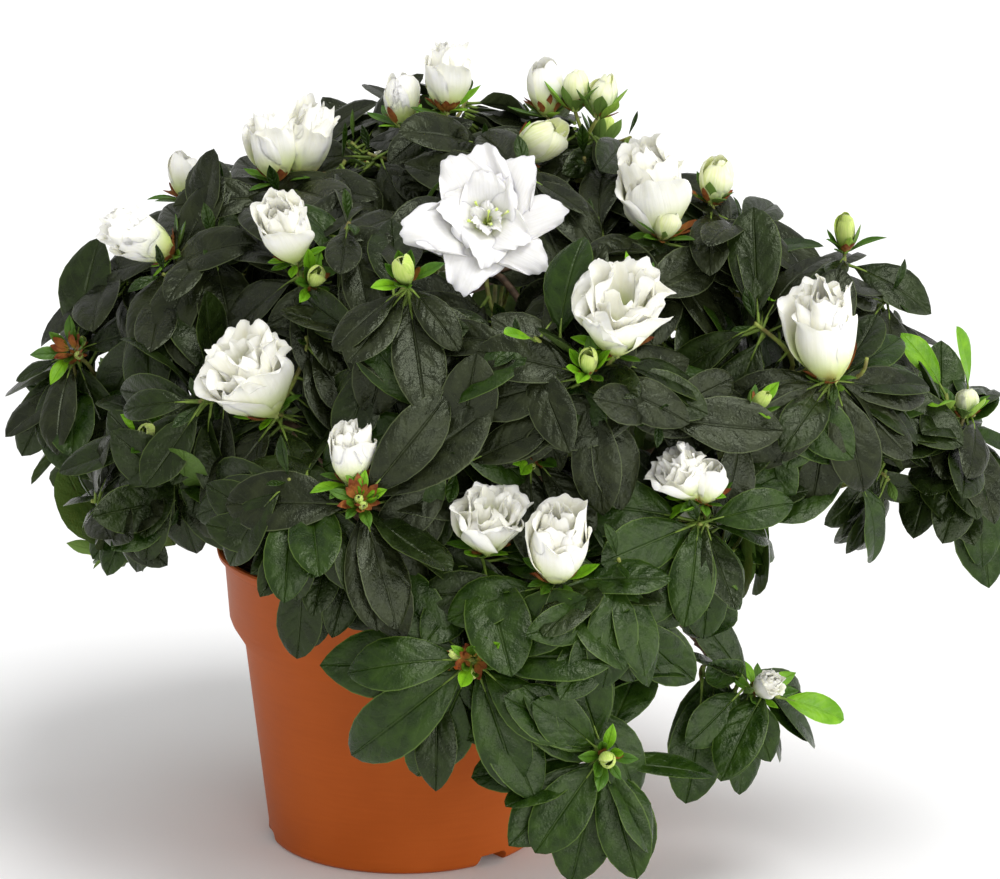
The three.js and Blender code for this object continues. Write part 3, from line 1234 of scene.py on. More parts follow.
@dataclass
class Parts:
    """The joined pieces that the crown is gathered in, and the shapes that they are made of."""

    leaf: Shape = field(default_factory=lambda: sheet(4, 10, 2, True))
    petal: Shape = field(default_factory=lambda: sheet(22, 12, 22, False))
    petal_behind: Shape = field(default_factory=lambda: sheet(12, 9, 12, False))
    furled: Shape = field(default_factory=lambda: sheet(8, 7, 8, False))
    scale: Shape = field(default_factory=lambda: sheet(2, 5, 2, True))
    stalk: Shape = field(default_factory=lambda: rod(4, 3))
    thread: Shape = field(default_factory=lambda: rod(4, 4))
    twig: Shape = field(default_factory=lambda: rod(6, 9))

    def __post_init__(self) -> None:
        """Starts each piece empty."""
        self.leaves = {tint: Joined(f"leaves_{tint.name.lower()}", "foliage") for tint in Tint}
        self.petals = Joined("petals_open", "petal")
        self.cups = Joined("petals_ruffled", "petal")
        self.goblets = Joined("petals_goblet", "petal")
        self.bud_petals = Joined("petals_furled", "petal")
        self.pale_petals = Joined("petals_pale", "petal")
        self.green_buds = Joined("green_buds", "foliage")
        self.scales = Joined("bud_scales", "bud_scale")
        self.stalks = Joined("leaf_stalks", "twig")
        self.threads = Joined("flower_threads", "petal")
        self.young_twigs = Joined("twigs_young", "twig")
        self.old_twigs = Joined("twigs_woody", "bark")

    def build(self) -> None:
        """Builds and dresses every piece. The leaves take the place of the masses of foliage."""
        for tint, leaves in self.leaves.items():
            leaves.build(tint.value.material(), FOLIAGE)
        self.petals.build(OPEN_PETAL.material(), [])
        cup = CUP_PETAL.material()
        for joined in (self.cups, self.goblets, self.bud_petals):
            joined.build(cup, [])
        self.pale_petals.build(PALE_PETAL.material(), [])
        self.green_buds.build(GREEN_BUD.material(), [])
        self.scales.build(ScaleFinish().material(), [])
        self.threads.build(THREAD.material(), [])
        self.stalks.build(STALK.material(), [])
        self.young_twigs.build(YOUNG_TWIG.material(), [])
        self.old_twigs.build(WOODY_TWIG.material(), [])


# ---- Heads of the shoots ----


class Head(Enum):
    """What a shoot ends in: its value is the height of the head's middle and its clear radius, in mm."""

    OPEN = (9.0, 27.0)
    RUFFLED = (13.0, 16.0)
    GOBLET = (12.0, 11.0)
    BUD = (9.0, 7.0)
    PALE_BUD = (7.0, 6.0)
    GREEN = (5.0, 3.0)
    SCALES = (2.0, 3.0)
    LEAVES = (0.0, 0.0)


@dataclass(frozen=True)
class Whorl:
    """A ring of petals in a flower or bud.

    Attributes:
        count: how many there are.
        turn: how far round the first stands from the flower's own bearing, in radians.
        form: their shape.
    """

    count: int
    turn: float
    form: PetalForm


def petals(
    count: int, turn: float, size: tuple[float, float], leans: tuple[float, float, float], **rest: float
) -> Whorl:
    """Describes a whorl by its petals' length and width, their leans and the rest, with lengths in mm."""
    lengths = ("start", "ruffle", "spiral", "lift")
    rest = {key: value * MM if key in lengths else value for key, value in rest.items()}
    return Whorl(count, turn, PetalForm(size[0] * MM, size[1] * MM, *leans, **rest))


BUD_WHORLS = (
    petals(
        4, 0.0, (20, 17), (48.0, -20.0, -44.0),
        start=1.2, ruffle=0.15, crenation=0.015, roundness=0.22, spiral=1.3,
    ),
    petals(
        3, 0.5, (19, 9), (26.0, -12.0, -25.0),
        start=0.9, ruffle=0.1, crenation=0.01, roundness=0.26, spiral=0.9,
    ),
)
WHORLS: dict[Head, tuple[Whorl, ...]] = {
    Head.OPEN: (
        petals(
            8, 0.0, (31, 20), (30.0, 78.0, 92.0), wrap=0.30,
            start=1.5, ruffle=1.7, frills=1.1, crenation=0.035, roundness=0.25,
        ),
        petals(
            5, 0.6, (22, 17), (20.0, 62.0, 80.0), wrap=0.34,
            start=1.2, ruffle=1.6, frills=1.2, crenation=0.04, roundness=0.22, lift=1.2,
        ),
        petals(
            6, 0.2, (12, 6), (5.0, 30.0, 74.0), wrap=0.6,
            start=1.0, ruffle=1.2, frills=1.0, crenation=0.03, roundness=0.2, lift=2.0,
        ),
    ),
    Head.RUFFLED: (
        petals(
            4, 0.0, (26, 29), (48.0, 5.0, 68.0), wrap=0.85,
            start=1.5, ruffle=1.7, frills=1.6, crenation=0.045, roundness=0.11, spiral=1.2,
        ),
        petals(
            4, 0.8, (28, 25), (38.0, 1.0, 40.0), wrap=0.85,
            start=1.2, ruffle=1.9, frills=1.7, crenation=0.05, roundness=0.12, spiral=1.0, lift=0.5,
        ),
        petals(
            3, 0.2, (28, 18), (24.0, -4.0, 8.0), wrap=0.85,
            start=1.0, ruffle=1.8, frills=1.6, crenation=0.05, roundness=0.13, spiral=0.8, lift=1.0,
        ),
    ),
    Head.GOBLET: (
        petals(
            4, 0.0, (25, 22), (44.0, -7.0, 24.0), wrap=0.98,
            start=1.3, ruffle=0.9, frills=1.4, crenation=0.04, roundness=0.11, spiral=1.4,
        ),
        petals(
            4, 0.7, (27, 18), (35.0, -10.0, 2.0), wrap=0.95,
            start=1.0, ruffle=1.2, frills=1.5, crenation=0.045, roundness=0.12, spiral=1.2, lift=0.8,
        ),
        petals(
            3, 0.3, (26.5, 13), (22.0, -11.0, -16.0), wrap=0.9,
            start=0.9, ruffle=1.0, frills=1.5, crenation=0.045, roundness=0.13, spiral=0.8, lift=1.2,
        ),
    ),
    Head.BUD: BUD_WHORLS,
    Head.PALE_BUD: BUD_WHORLS,
    Head.GREEN: (
        petals(
            3, 0.0, (13, 10.5), (28.0, -12.0, -58.0),
            start=0.9, ruffle=0.05, crenation=0.0, roundness=0.3, spiral=0.5,
        ),
        petals(
            2, 0.5, (12.5, 7), (18.0, -8.0, -44.0),
            start=0.7, ruffle=0.05, crenation=0.0, roundness=0.3, spiral=0.4,
        ),
    ),
}

# The papery scales round the foot of a head: how many, how long in mm, how far they lean out in degrees,
# and how far from the axis they start in mm.
SCALE_RINGS: dict[Head, tuple[int, float, float, float]] = {
    Head.RUFFLED: (9, 11.0, 56.0, 0.8),
    Head.GOBLET: (9, 10.5, 53.0, 0.8),
    Head.BUD: (8, 10.0, 56.0, 0.6),
    Head.PALE_BUD: (8, 10.0, 56.0, 0.6),
    Head.GREEN: (5, 7.0, 48.0, 0.6),
    Head.SCALES: (16, 8.5, 44.0, 1.0),
}


@dataclass
class Flowers:
    """Makes the heads of the shoots."""

    parts: Parts
    seed: int
    pale_share: float = 0.8
    tiny_share: float = 0.5
    tiny_buds: int = 2
    thread_count: int = 9
    thread_length: float = 15.0 * MM
    thread_radii: tuple[float, ...] = (0.45, 0.4, 0.35, 0.3, 0.6)

    def __post_init__(self) -> None:
        """Starts the seeded draw, and says which piece the petals of each head go into."""
        self.rng = np.random.default_rng(self.seed)
        self.broad = self.parts.petal
        self.pieces = {
            Head.OPEN: self.parts.petals,
            Head.RUFFLED: self.parts.cups,
            Head.GOBLET: self.parts.goblets,
            Head.BUD: self.parts.bud_petals,
            Head.PALE_BUD: self.parts.pale_petals,
            Head.GREEN: self.parts.green_buds,
        }

    def petal_ring(
        self, head: Head, whorl: Whorl, size: float, foot: Array, axis: Array, spin: float
    ) -> None:
        """Adds a whorl of a flower, from a bearing on, with each petal a little unlike the rest."""
        rng, form = self.rng, whorl.form
        flat = self.broad if head in (Head.OPEN, Head.RUFFLED, Head.GOBLET) else self.parts.furled
        for number in range(whorl.count):
            one = replace(
                form,
                length=form.length * rng.uniform(0.88, 1.1),
                width=form.width * rng.uniform(0.9, 1.12),
                rising=form.rising + rng.uniform(-5.0, 5.0),
                ending=form.ending + rng.uniform(-14.0, 14.0),
                phase=rng.uniform(0.0, math.tau),
                skew=rng.uniform(-0.5, 0.5),
                frills=form.frills * rng.uniform(0.8, 1.25),
            )
            turn = spin + math.tau * number / whorl.count + rng.uniform(-0.12, 0.12)
            placed = standing(one.points(flat.points) * size, foot, axis, turn)
            self.pieces[head].add(flat, placed)

    def scale_ring(self, head: Head, size: float, foot: Array, axis: Array) -> None:
        """Adds the papery scales round the foot of a head."""
        rng = self.rng
        count, length, lean, out = SCALE_RINGS[head]
        for number in range(count):
            form = LeafForm(
                curl=rng.uniform(-0.8, 0.1),
                fold=0.5,
                wave=0.03,
                twist=rng.uniform(-0.4, 0.4),
                phase=0.0,
                width=0.33,
                narrow=1.2,
            )
            points = form.points(self.parts.scale.points) * (length * MM * size) * rng.uniform(0.75, 1.15)
            tilt = math.radians(lean + rng.uniform(-14.0, 14.0))
            c, s = math.cos(tilt), math.sin(tilt)
            x, y, z = points.T
            leaning = np.stack((y * s - z * c + out * MM, -x, y * c + z * s), axis=1)
            turn = GOLDEN_TURN * number + rng.uniform(-0.3, 0.3)
            self.parts.scales.add(self.parts.scale, standing(leaning, foot, axis, turn))

    def threads(self, size: float, foot: Array, axis: Array) -> None:
        """Adds the threads in the throat of an open flower."""
        length = self.thread_length * size
        thread = self.parts.thread
        for _ in range(self.thread_count):
            lean = self.rng.normal(0.0, 0.33, 3)
            end = foot + unit(axis + lean) * length * self.rng.uniform(0.75, 1.1)
            path = bezier(foot, foot + axis * length * 0.4, end - axis * length * 0.25, end, 5)
            self.parts.threads.add(thread, along_path(thread, path, np.array(self.thread_radii) * MM))

    def make(self, head: Head, foot: Array, axis: Array, size: float, in_front: bool) -> None:
        """Makes the head that a shoot ends in.

        Args:
            head: the kind of head. One of scales has a few tiny green buds in it.
            foot: where it stands.
            axis: which way it faces.
            size: what it is scaled by.
            in_front: whether it is on the crown's front, where broad petals are finer.
        """
        self.broad = self.parts.petal if in_front else self.parts.petal_behind
        if head is Head.SCALES:
            for _ in range(self.tiny_buds):
                lean = unit(axis + self.rng.normal(0.0, 0.35, 3))
                beside = foot + (lean - axis) * 4.0 * MM
                self.make(Head.GREEN, beside, lean, size * self.tiny_share, in_front)
        if head is Head.PALE_BUD:
            size = size * self.pale_share
        if head in WHORLS:
            spin = self.rng.uniform(0.0, math.tau)
            for whorl in WHORLS[head]:
                self.petal_ring(head, whorl, size, foot, axis, spin + whorl.turn)
        if head is Head.OPEN:
            self.threads(size, foot, axis)
        if head in SCALE_RINGS:
            self.scale_ring(head, size, foot, axis)


# ---- Shoots ----


@dataclass
class Shoot:
    """A leafy shoot.

    Attributes:
        head: what it ends in.
        place: the middle of its head, to the right of, in front of and above the middle of its mass, in mm.
        aim: which way it points, as right, back and up.
        size: what its head is scaled by.
        leaves: how many leaves ring it.
        young: how many of its leaves are this year's, small and bright.
        tint: the colour of its leaves, or none to have it dealt.
        leaf_size: what its leaves are scaled by.
        splay: how far its leaves lean out, where 1 is a full rosette and near 0 a brush.
        beyond: how far its leaves may pass the masses of foliage, in mm.
        mass: the mass that it belongs to.
        tip: where it ends.
        axis: which way it points there, at length 1.
    """

    head: Head
    place: tuple[float, float, float] = (0.0, 0.0, 0.0)
    aim: tuple[float, float, float] = (0.0, 0.0, 0.0)
    size: float = 1.0
    leaves: int = 9
    young: int = 2
    tint: Tint | None = None
    leaf_size: float = 1.0
    splay: float = 1.0
    beyond: float = 8.0
    mass: str = ""
    tip: Array = field(default_factory=lambda: np.zeros(3))
    axis: Array = field(default_factory=lambda: UP)


def bright(place: tuple[float, float, float], aim: tuple[float, float, float], leaves: int = 2) -> Shoot:
    """Returns a weak shoot with nothing but young leaves."""
    return Shoot(Head.LEAVES, place, aim, 1.0, leaves, 0, Tint.BRIGHT, 0.62, splay=0.2, beyond=14.0)


H = Head
SHOOTS: dict[str, list[Shoot]] = {
    "crest_left": [
        Shoot(H.GOBLET, (8, 8, 25), (0, -2, 10), 0.92, beyond=-3.0),
        Shoot(H.BUD, (-8, 0, 16.5), (-1, 0, 10), 0.98, beyond=-2.0),
        Shoot(H.LEAVES, (22, 14, 4), (4, -6, 5), beyond=-4.0),
        Shoot(H.LEAVES, (6, 14, 4), (0, -6, 6), beyond=-4.0),
        Shoot(H.LEAVES, (-19, 6, 0), (-4, -4, 7), beyond=-2.0),
    ],
    "crest_right": [
        Shoot(H.BUD, (-15, 0, 24.5), (-1, 0, 10), 1.0, beyond=-3.0),
        Shoot(H.PALE_BUD, (-5, 6, 25), (0, 0, 10), 0.94, beyond=-3.0),
        Shoot(H.PALE_BUD, (4, 10, 24), (2, -1, 10), 1.05, beyond=-3.0),
        Shoot(H.PALE_BUD, (-18, 18, 10), (7, -4, 6), 1.4, beyond=0.0),
        Shoot(H.LEAVES, (-2, 18, 5), (1, -6, 6), beyond=-2.0),
        Shoot(H.LEAVES, (14, 4, 9), (5, -4, 5), beyond=-1.0),
    ],
    "left_top": [
        Shoot(H.GOBLET, (-6, 8, 15.5), (-2, -1, 10), 0.92),
        Shoot(H.GOBLET, (5, 2, 16), (2, -1, 10), 1.0),
        Shoot(H.LEAVES, (-4, 16, 2), (-1, -6, 6)),
        Shoot(H.LEAVES, (18, 0, 11), (5, -2, 6)),
        Shoot(H.LEAVES, (-23, 10, 3), (-5, -5, 5), beyond=0.0),
    ],
    "left_back": [
        Shoot(H.BUD, (-17, -8, 26), (-1, 0, 10), 0.95, beyond=0.0),
        Shoot(H.LEAVES, (-10, 8, 23), (-2, -5, 7), leaf_size=1.15, beyond=2.0),
        Shoot(H.LEAVES, (6, 10, 16), (2, -6, 6), beyond=2.0),
    ],
    "left_upper": [
        Shoot(H.GOBLET, (-9, 8, 20.5), (-9, -3, 5), 0.95),
        Shoot(H.LEAVES, (-3, 12, 10), (-3, -6, 6)),
        Shoot(H.LEAVES, (14, 12, 21), (1, -5, 7)),
        Shoot(H.LEAVES, (-6, 14, -8), (-3, -8, 0), beyond=-2.0),
    ],
    "left_inner": [
        Shoot(H.GOBLET, (-5, 14, 21), (-2, -5, 8), 1.0),
        Shoot(H.GREEN, (4, 16, 7), (2, -7, 5), 1.0),
        Shoot(H.LEAVES, (15, 8, 24), (3, -5, 7)),
        Shoot(H.LEAVES, (22, 8, 6), (4, -7, 3)),
    ],
    "mid_upper": [
        Shoot(H.GREEN, (5, 16, 24), (-1, -7, 7), 1.2, 10),
        Shoot(H.LEAVES, (-4, 12, -2), (-2, -8, 2)),
    ],
    "centre_bloom": [
        Shoot(H.OPEN, (-2, 18, 16), (0, -9, 4), 0.98, young=0),
        Shoot(H.LEAVES, (4, 12, -22), (2, -8, 0)),
    ],
    "right_shoulder": [
        Shoot(H.GOBLET, (-6.5, 12, 23), (-2, -4, 9), 1.3),
        Shoot(H.PALE_BUD, (-3, 18, 16), (2, -4, 8), 0.85),
        Shoot(H.PALE_BUD, (14, 2, 27), (1, -2, 9), 1.15),
        Shoot(H.LEAVES, (23, 4, 13), (6, -2, 6)),
        Shoot(H.LEAVES, (9, 12, -1), (3, -7, 4)),
        Shoot(H.LEAVES, (-27, 10, 11), (-4, -6, 5)),
        bright((27, 8, -8), (3, -7, 4), 1),
    ],
    "mid_right": [
        Shoot(H.RUFFLED, (9, 16, 18), (1, -4, 8), 1.08),
        Shoot(H.GREEN, (-1, 20, 4), (0, -7, 7), 1.0, 12, leaf_size=1.1),
        Shoot(H.LEAVES, (-22, 12, 8), (-5, -7, 3)),
        Shoot(H.LEAVES, (22, 12, -16), (3, -8, 1)),
        bright((-18, 17, 12), (-2, -5, 7), 1),
    ],
    "right_front": [
        Shoot(H.GOBLET, (5, 14, 13), (-1, -3, 9), 1.36),
        Shoot(H.LEAVES, (8, 16, 1), (2, -8, 3), 1.0, 10),
        Shoot(H.LEAVES, (-18, 10, 18), (-4, -6, 6)),
        bright((19, 9, 6), (4, -5, 6), 1),
    ],
    "right_far": [
        Shoot(H.GREEN, (-4, 0, 34), (0, -2, 9), 1.2, 6, 3, leaf_size=0.8, beyond=10.0),
        Shoot(H.LEAVES, (12, 6, 14), (6, -5, 5), 1.0, 8, leaf_size=1.1, beyond=7.0),
        Shoot(H.LEAVES, (-14, 4, 22), (-4, -4, 6)),
    ],
    "right_tip": [
        Shoot(H.PALE_BUD, (9, 8, 18), (1, -2, 9), 0.75, 6, 3, beyond=12.0),
        Shoot(H.LEAVES, (12, 8, 0), (1, -2, -10), 1.0, 2, 0, leaf_size=1.4, splay=0.12, beyond=22.0),
        Shoot(H.LEAVES, (12, 8, 14), (6, -5, 1), 1.0, 4, 0, splay=0.8),
        bright((2, 10, 22), (-3, -2, 10), 2),
        bright((10, 8, 22), (2, -2, 10), 2),
    ],
    "right_branch": [
        Shoot(H.LEAVES, (12, 6, 3), (2, -4, -7), 1.0, 4, 1, leaf_size=0.85, splay=0.6, beyond=0.0),
        Shoot(H.LEAVES, (0, 4, 0), (0, -6, -5), 1.0, 5, leaf_size=0.9, beyond=0.0),
    ],
    "left_tip": [
        Shoot(H.SCALES, (-4, 8, 13), (-2, -8, 4), 1.0, 9, beyond=4.0),
        Shoot(H.LEAVES, (4, 8, -4), (-3, -7, -3), 1.0, 7, beyond=4.0),
        Shoot(H.LEAVES, (18, 0, 5), (0, -6, 5), 1.0, 6, beyond=1.0),
        Shoot(H.LEAVES, (-6, 6, 10), (-10, -2, -1), 1.0, 1, 0, leaf_size=0.55, splay=0.1, beyond=24.0),
    ],
    "left_low": [
        Shoot(H.GREEN, (-2, 12, 10), (-2, -8, 3), 1.0, 12, leaf_size=1.1),
        Shoot(H.LEAVES, (10, 12, -13), (-1, -8, -2)),
        Shoot(H.LEAVES, (22, 8, 22), (2, -7, 4)),
    ],
    "left_bloom": [
        Shoot(H.RUFFLED, (-2, 16, 16), (-4, -4, 8), 1.15),
        Shoot(H.LEAVES, (-20, 12, 8), (-4, -7, 2), beyond=4.0),
        Shoot(H.LEAVES, (15, 8, 29), (2, -6, 6)),
    ],
    "left_skirt": [
        Shoot(H.LEAVES, (-2, 6, 6), (-4, -7, -1), 1.0, 8, beyond=2.0),
        Shoot(H.LEAVES, (9, 8, 8), (0, -8, -2), 1.0, 7, beyond=2.0),
    ],
    "mid_low": [
        Shoot(H.RUFFLED, (18, 20, -20), (1, -4, 8), 0.88),
        Shoot(H.SCALES, (33, 6, 0), (2, -8, 4), 0.8, 6),
        Shoot(H.LEAVES, (-1, 12, 14), (-2, -8, 3)),
        Shoot(H.LEAVES, (8, 14, -3), (0, -8, 1)),
    ],
    "front_left": [
        Shoot(H.GOBLET, (6, 14, 26), (0, -3, 9), 0.82, 6),
        Shoot(H.SCALES, (9, 20, 14), (0, -8, 5), 1.0, 12, 3, leaf_size=1.2),
        Shoot(H.LEAVES, (-14, 10, 18), (-5, -6, 4)),
        Shoot(H.LEAVES, (-10, 8, -8), (-4, -7, -4), 1.0, 6),
    ],
    "front_right": [
        Shoot(H.GOBLET, (0, 18, 9), (0, -5, 8), 1.18, 7),
        Shoot(H.LEAVES, (20, 12, -14), (4, -7, -1)),
        Shoot(H.LEAVES, (20, 10, 4), (4, -6, 5)),
        Shoot(H.LEAVES, (-12, 8, -9), (-3, -8, -1)),
    ],
    "front_low": [
        Shoot(H.SCALES, (11, 16, 15), (0, -9, 3), 1.0, 14, 3, leaf_size=1.2, beyond=10.0),
    ],
    "trail": [
        Shoot(H.GREEN, (2, 14, 10), (1, -9, 1), 0.9, 14, 3, leaf_size=1.08, beyond=10.0),
        Shoot(H.LEAVES, (-8, 4, 28), (-1, -7, 1), 1.0, 5),
    ],
    "right_low": [
        Shoot(H.RUFFLED, (-5.5, 14, 20.5), (-5, -3, 8), 0.72, 5),
        Shoot(H.BUD, (2, 16, 19), (2, -4, 8), 0.85, 5),
        Shoot(H.LEAVES, (-1, 14, 5), (1, -8, 1), 1.0, 9),
        Shoot(H.LEAVES, (8, 6, -12), (2, -6, -6), 1.0, 6, beyond=4.0),
    ],
    "trail_right": [
        Shoot(H.GOBLET, (9, 12, 0), (4, -6, 5), 0.52, 2, 3),
        Shoot(H.LEAVES, (3, 10, -2), (2, -7, -4), 1.0, 5, 1, leaf_size=0.8, beyond=10.0),
        Shoot(H.LEAVES, (-12, 6, 0), (-2, -4, -9), 1.0, 3, 0, Tint.FRESH, 1.1, splay=0.35, beyond=12.0),
        bright((14, 12, -4), (9, -4, 0), 1),
    ],
}


# How often the shoots that are dealt over the outside have each kind of head: on the crown's far side, and
# where they could be seen from the front.
FAR_ODDS = {
    Head.LEAVES: 0.40,
    Head.SCALES: 0.12,
    Head.GREEN: 0.10,
    Head.BUD: 0.13,
    Head.GOBLET: 0.12,
    Head.RUFFLED: 0.10,
    Head.OPEN: 0.03,
}
NEAR_ODDS = {Head.LEAVES: 0.8, Head.SCALES: 0.12, Head.GREEN: 0.08}

# How far the leaves of a mass may rise above its middle, in mm, where its flowers stand clear of them.
CEILINGS = {"crest_left": 13.0, "crest_right": 15.0, "left_top": 12.0, "left_back": 26.0, "right_far": 27.0}
NO_CEILING = 90.0

# Which points of a leaf's rib, from foot to tip, are tried for room.
PROBED = (2, 6, 10, 14, -1)

# Where the crown is open to the sky from front to back: how far to the right and up on the upright plane
# through the pot's axis, and how far round it the ribs of the leaves keep away, in mm.
GAPS = (
    (-125.0, 108.0, 15.0),
    (139.0, 84.0, 14.0),
    (93.0, 42.0, 8.0),
    (-102.0, 171.0, 7.5),
    (-54.0, 203.0, 7.0),
    (-16.0, 242.5, 7.0),
    (93.5, 180.0, 7.0),
    (110.5, 196.5, 6.0),
)


class Envelope:
    """The construction's masses of foliage, which say how far the crown reaches."""

    def __init__(self) -> None:
        """Reads the masses' faces."""
        self.faces: list[tuple[float, Array, Array, str]] = []
        verts: list[Vector] = []
        polygons: list[tuple[int, ...]] = []
        for name in FOLIAGE:
            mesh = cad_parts[name].data
            polygons += [tuple(len(verts) + i for i in face.vertices) for face in mesh.polygons]
            verts += [vert.co.copy() for vert in mesh.vertices]
            for face in mesh.polygons:
                corners = np.array([mesh.vertices[i].co for i in face.vertices])
                mass = name.removeprefix("foliage_")
                self.faces.append((face.area, corners, np.array(face.normal), mass))
        self.tree = BVHTree.FromPolygons(verts, polygons)

    def beyond(self, point: Array) -> float:
        """Returns how far outside the masses a point is, or less than 0 inside them."""
        place, normal, _, distance = self.tree.find_nearest(Vector(point))
        return distance if (Vector(point) - place) @ normal > 0.0 else -distance

    def open_towards(self, point: Array, aim: Array, reach: float) -> bool:
        """Says whether nothing lies in front of a point, that way."""
        start = Vector(point) + Vector(aim) * MM
        return self.tree.ray_cast(start, Vector(aim), reach)[0] is None


@dataclass(frozen=True)
class Clearing:
    """A bloom's own space and its view of the light, which leaves keep out of."""

    start: Array
    end: Array
    radius: float

    def holds(self, point: Array) -> bool:
        """Says whether a point lies in the clearing."""
        line = self.end - self.start
        share = np.clip((point - self.start) @ line / (line @ line), 0.0, 1.0)
        return bool(np.linalg.norm(point - self.start - line * share) < self.radius)


@dataclass
class Crown:
    """The whole crown: shoots over its outside, the twigs that carry them, and their leaves.

    Attributes:
        heart_side: how far right of the pot's axis the crown grows from.
        heart_drop: how far below the stem's top it grows from.
        spacing, spacing_behind: how far apart the dealt shoots end, at the front and at the back.
        inset: how far inside the masses' outside they end.
        deep: how far from a mass's middle to the heart its inmost shoot ends.
        deep_above: how far above the pot's rim a mass has such a shoot.
        along, along_first, along_step: the leaves down a twig, as shares of it.
        margin: how far a leaf's rib may pass the CAD box.
        ground_gap, rim_gap: how far it stays off the ground, and above and outside the pot's rim.
        flower_reach: how far a flower reaches round its place.
        clear_margin, clear_reach: how far leaves stay off a bloom's sides, and from in front of it.
        gap_reach: how far to both sides of the pot's axis a gap goes, along the line of sight.
        fresh_below, dark_above: the shares of the crown's height that bound the middle green.
        tint_from: the height that these shares are counted from.
        fork_inset: how far inside a mass's middle its twigs fork.
        joint: how far a twig starts inside the limb that carries it.
        woody_radii, young_radii: a twig's radii at its start and end, in mm.
        stalk_radii: a leaf stalk's radii from its start to its end, in mm.
        view: which way the eye is from the crown.
        bare: the masses that have no shoots but those placed by name.
    """

    seed: int = 41
    heart_side: float = 20.0 * MM
    heart_drop: float = 14.0 * MM
    spacing: float = 29.0 * MM
    spacing_behind: float = 23.0 * MM
    inset: float = 9.0 * MM
    deep: float = 0.32
    deep_above: float = 30.0 * MM
    candidates: int = 5000
    along: int = 5
    along_first: float = 0.86
    along_step: float = 0.14
    leaf_length: float = 37.0 * MM
    bend_forms: int = 14
    margin: float = 6.0 * MM
    ground_gap: float = 4.0 * MM
    rim_gap: tuple[float, float] = (3.0 * MM, 2.5 * MM)
    flower_reach: float = 34.0 * MM
    clear_margin: float = 3.5 * MM
    clear_reach: float = 60.0 * MM
    gap_reach: float = 0.2
    fresh_below: float = 0.33
    dark_above: float = 0.62
    tint_from: float = 60.0 * MM
    fork_inset: float = 10.0 * MM
    joint: float = 3.0 * MM
    twig_points: int = 10
    woody_radii: tuple[float, float] = (1.3, 1.1)
    young_radii: tuple[float, float] = (0.9, 0.65)
    stalk_radii: tuple[float, ...] = (0.75, 0.6, 0.55, 0.28)
    view: tuple[float, float, float] = (0.0, -0.96, 0.27)
    bare: tuple[str, ...] = (
        "left_tip", "left_skirt", "front_left", "front_right", "front_low", "trail", "trail_right",
        "right_low", "right_branch", "right_tip",
    )

    def __post_init__(self) -> None:
        """Reads the masses' places from the frame."""
        low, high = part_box("stem")
        self.stem_top = np.array(((low.x + high.x) / 2, (low.y + high.y) / 2, high.z))
        self.heart = np.array((self.heart_side, 0.0, high.z - self.heart_drop))
        self.parts = Parts()
        self.envelope = Envelope()
        self.rng = np.random.default_rng(self.seed)
        self.masses = {name.removeprefix("foliage_"): middle(name) for name in FOLIAGE}
        self.low, self.high = np.array(CAD_BOX[0]), np.array(CAD_BOX[1])
        self.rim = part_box("pot")[1]
        self.clearings = [self.gap(*place) for place in GAPS]
        self.shoots: list[Shoot] = []
        flat, rng = self.parts.leaf.points, self.rng
        self.forms = [
            LeafForm(
                curl=curl,
                fold=rng.uniform(0.08, 0.40),
                wave=rng.uniform(0.0, 0.03),
                twist=rng.uniform(-0.35, 0.35),
                phase=rng.uniform(0.0, math.tau),
                width=rng.uniform(0.41, 0.52),
                narrow=rng.uniform(0.75, 1.05),
            ).points(flat)
            for curl in np.linspace(-0.15, 1.0, self.bend_forms)
        ]
        young = LeafForm(curl=0.0, fold=0.55, wave=0.0, twist=0.2, phase=0.0, width=0.34, narrow=1.3)
        self.young_forms = [replace(young, curl=curl).points(flat) for curl in (-0.5, -0.2, 0.15, 0.5)]
        self.stalk_end = int(np.argmin(np.abs(flat[:, 1] - 0.22) + np.abs(flat[:, 0])))

    # The crown's outside, and the shoots on it

    def outer_points(self) -> tuple[Array, Array, list[str]]:
        """Draws points on the outside of the masses, clear of their neighbours.

        Returns:
            The points, their outward directions and the masses that they lie on.
        """
        faces = self.envelope.faces
        areas = np.array([area for area, *_ in faces])
        picks = self.rng.choice(len(faces), self.candidates, p=areas / areas.sum())
        points, normals, names = [], [], []
        for pick in picks:
            _, triangle, normal, name = faces[pick]
            a, b = sorted(self.rng.random(2))
            point = triangle[0] * a + triangle[1] * (b - a) + triangle[2] * (1.0 - b)
            outward = unit(point - self.heart)
            facing = normal @ outward > -0.15
            if facing and self.envelope.open_towards(point, unit(normal + outward), 30.0 * MM):
                points.append(point)
                normals.append(unit(normal))
                names.append(name)
        return np.array(points), np.array(normals), names

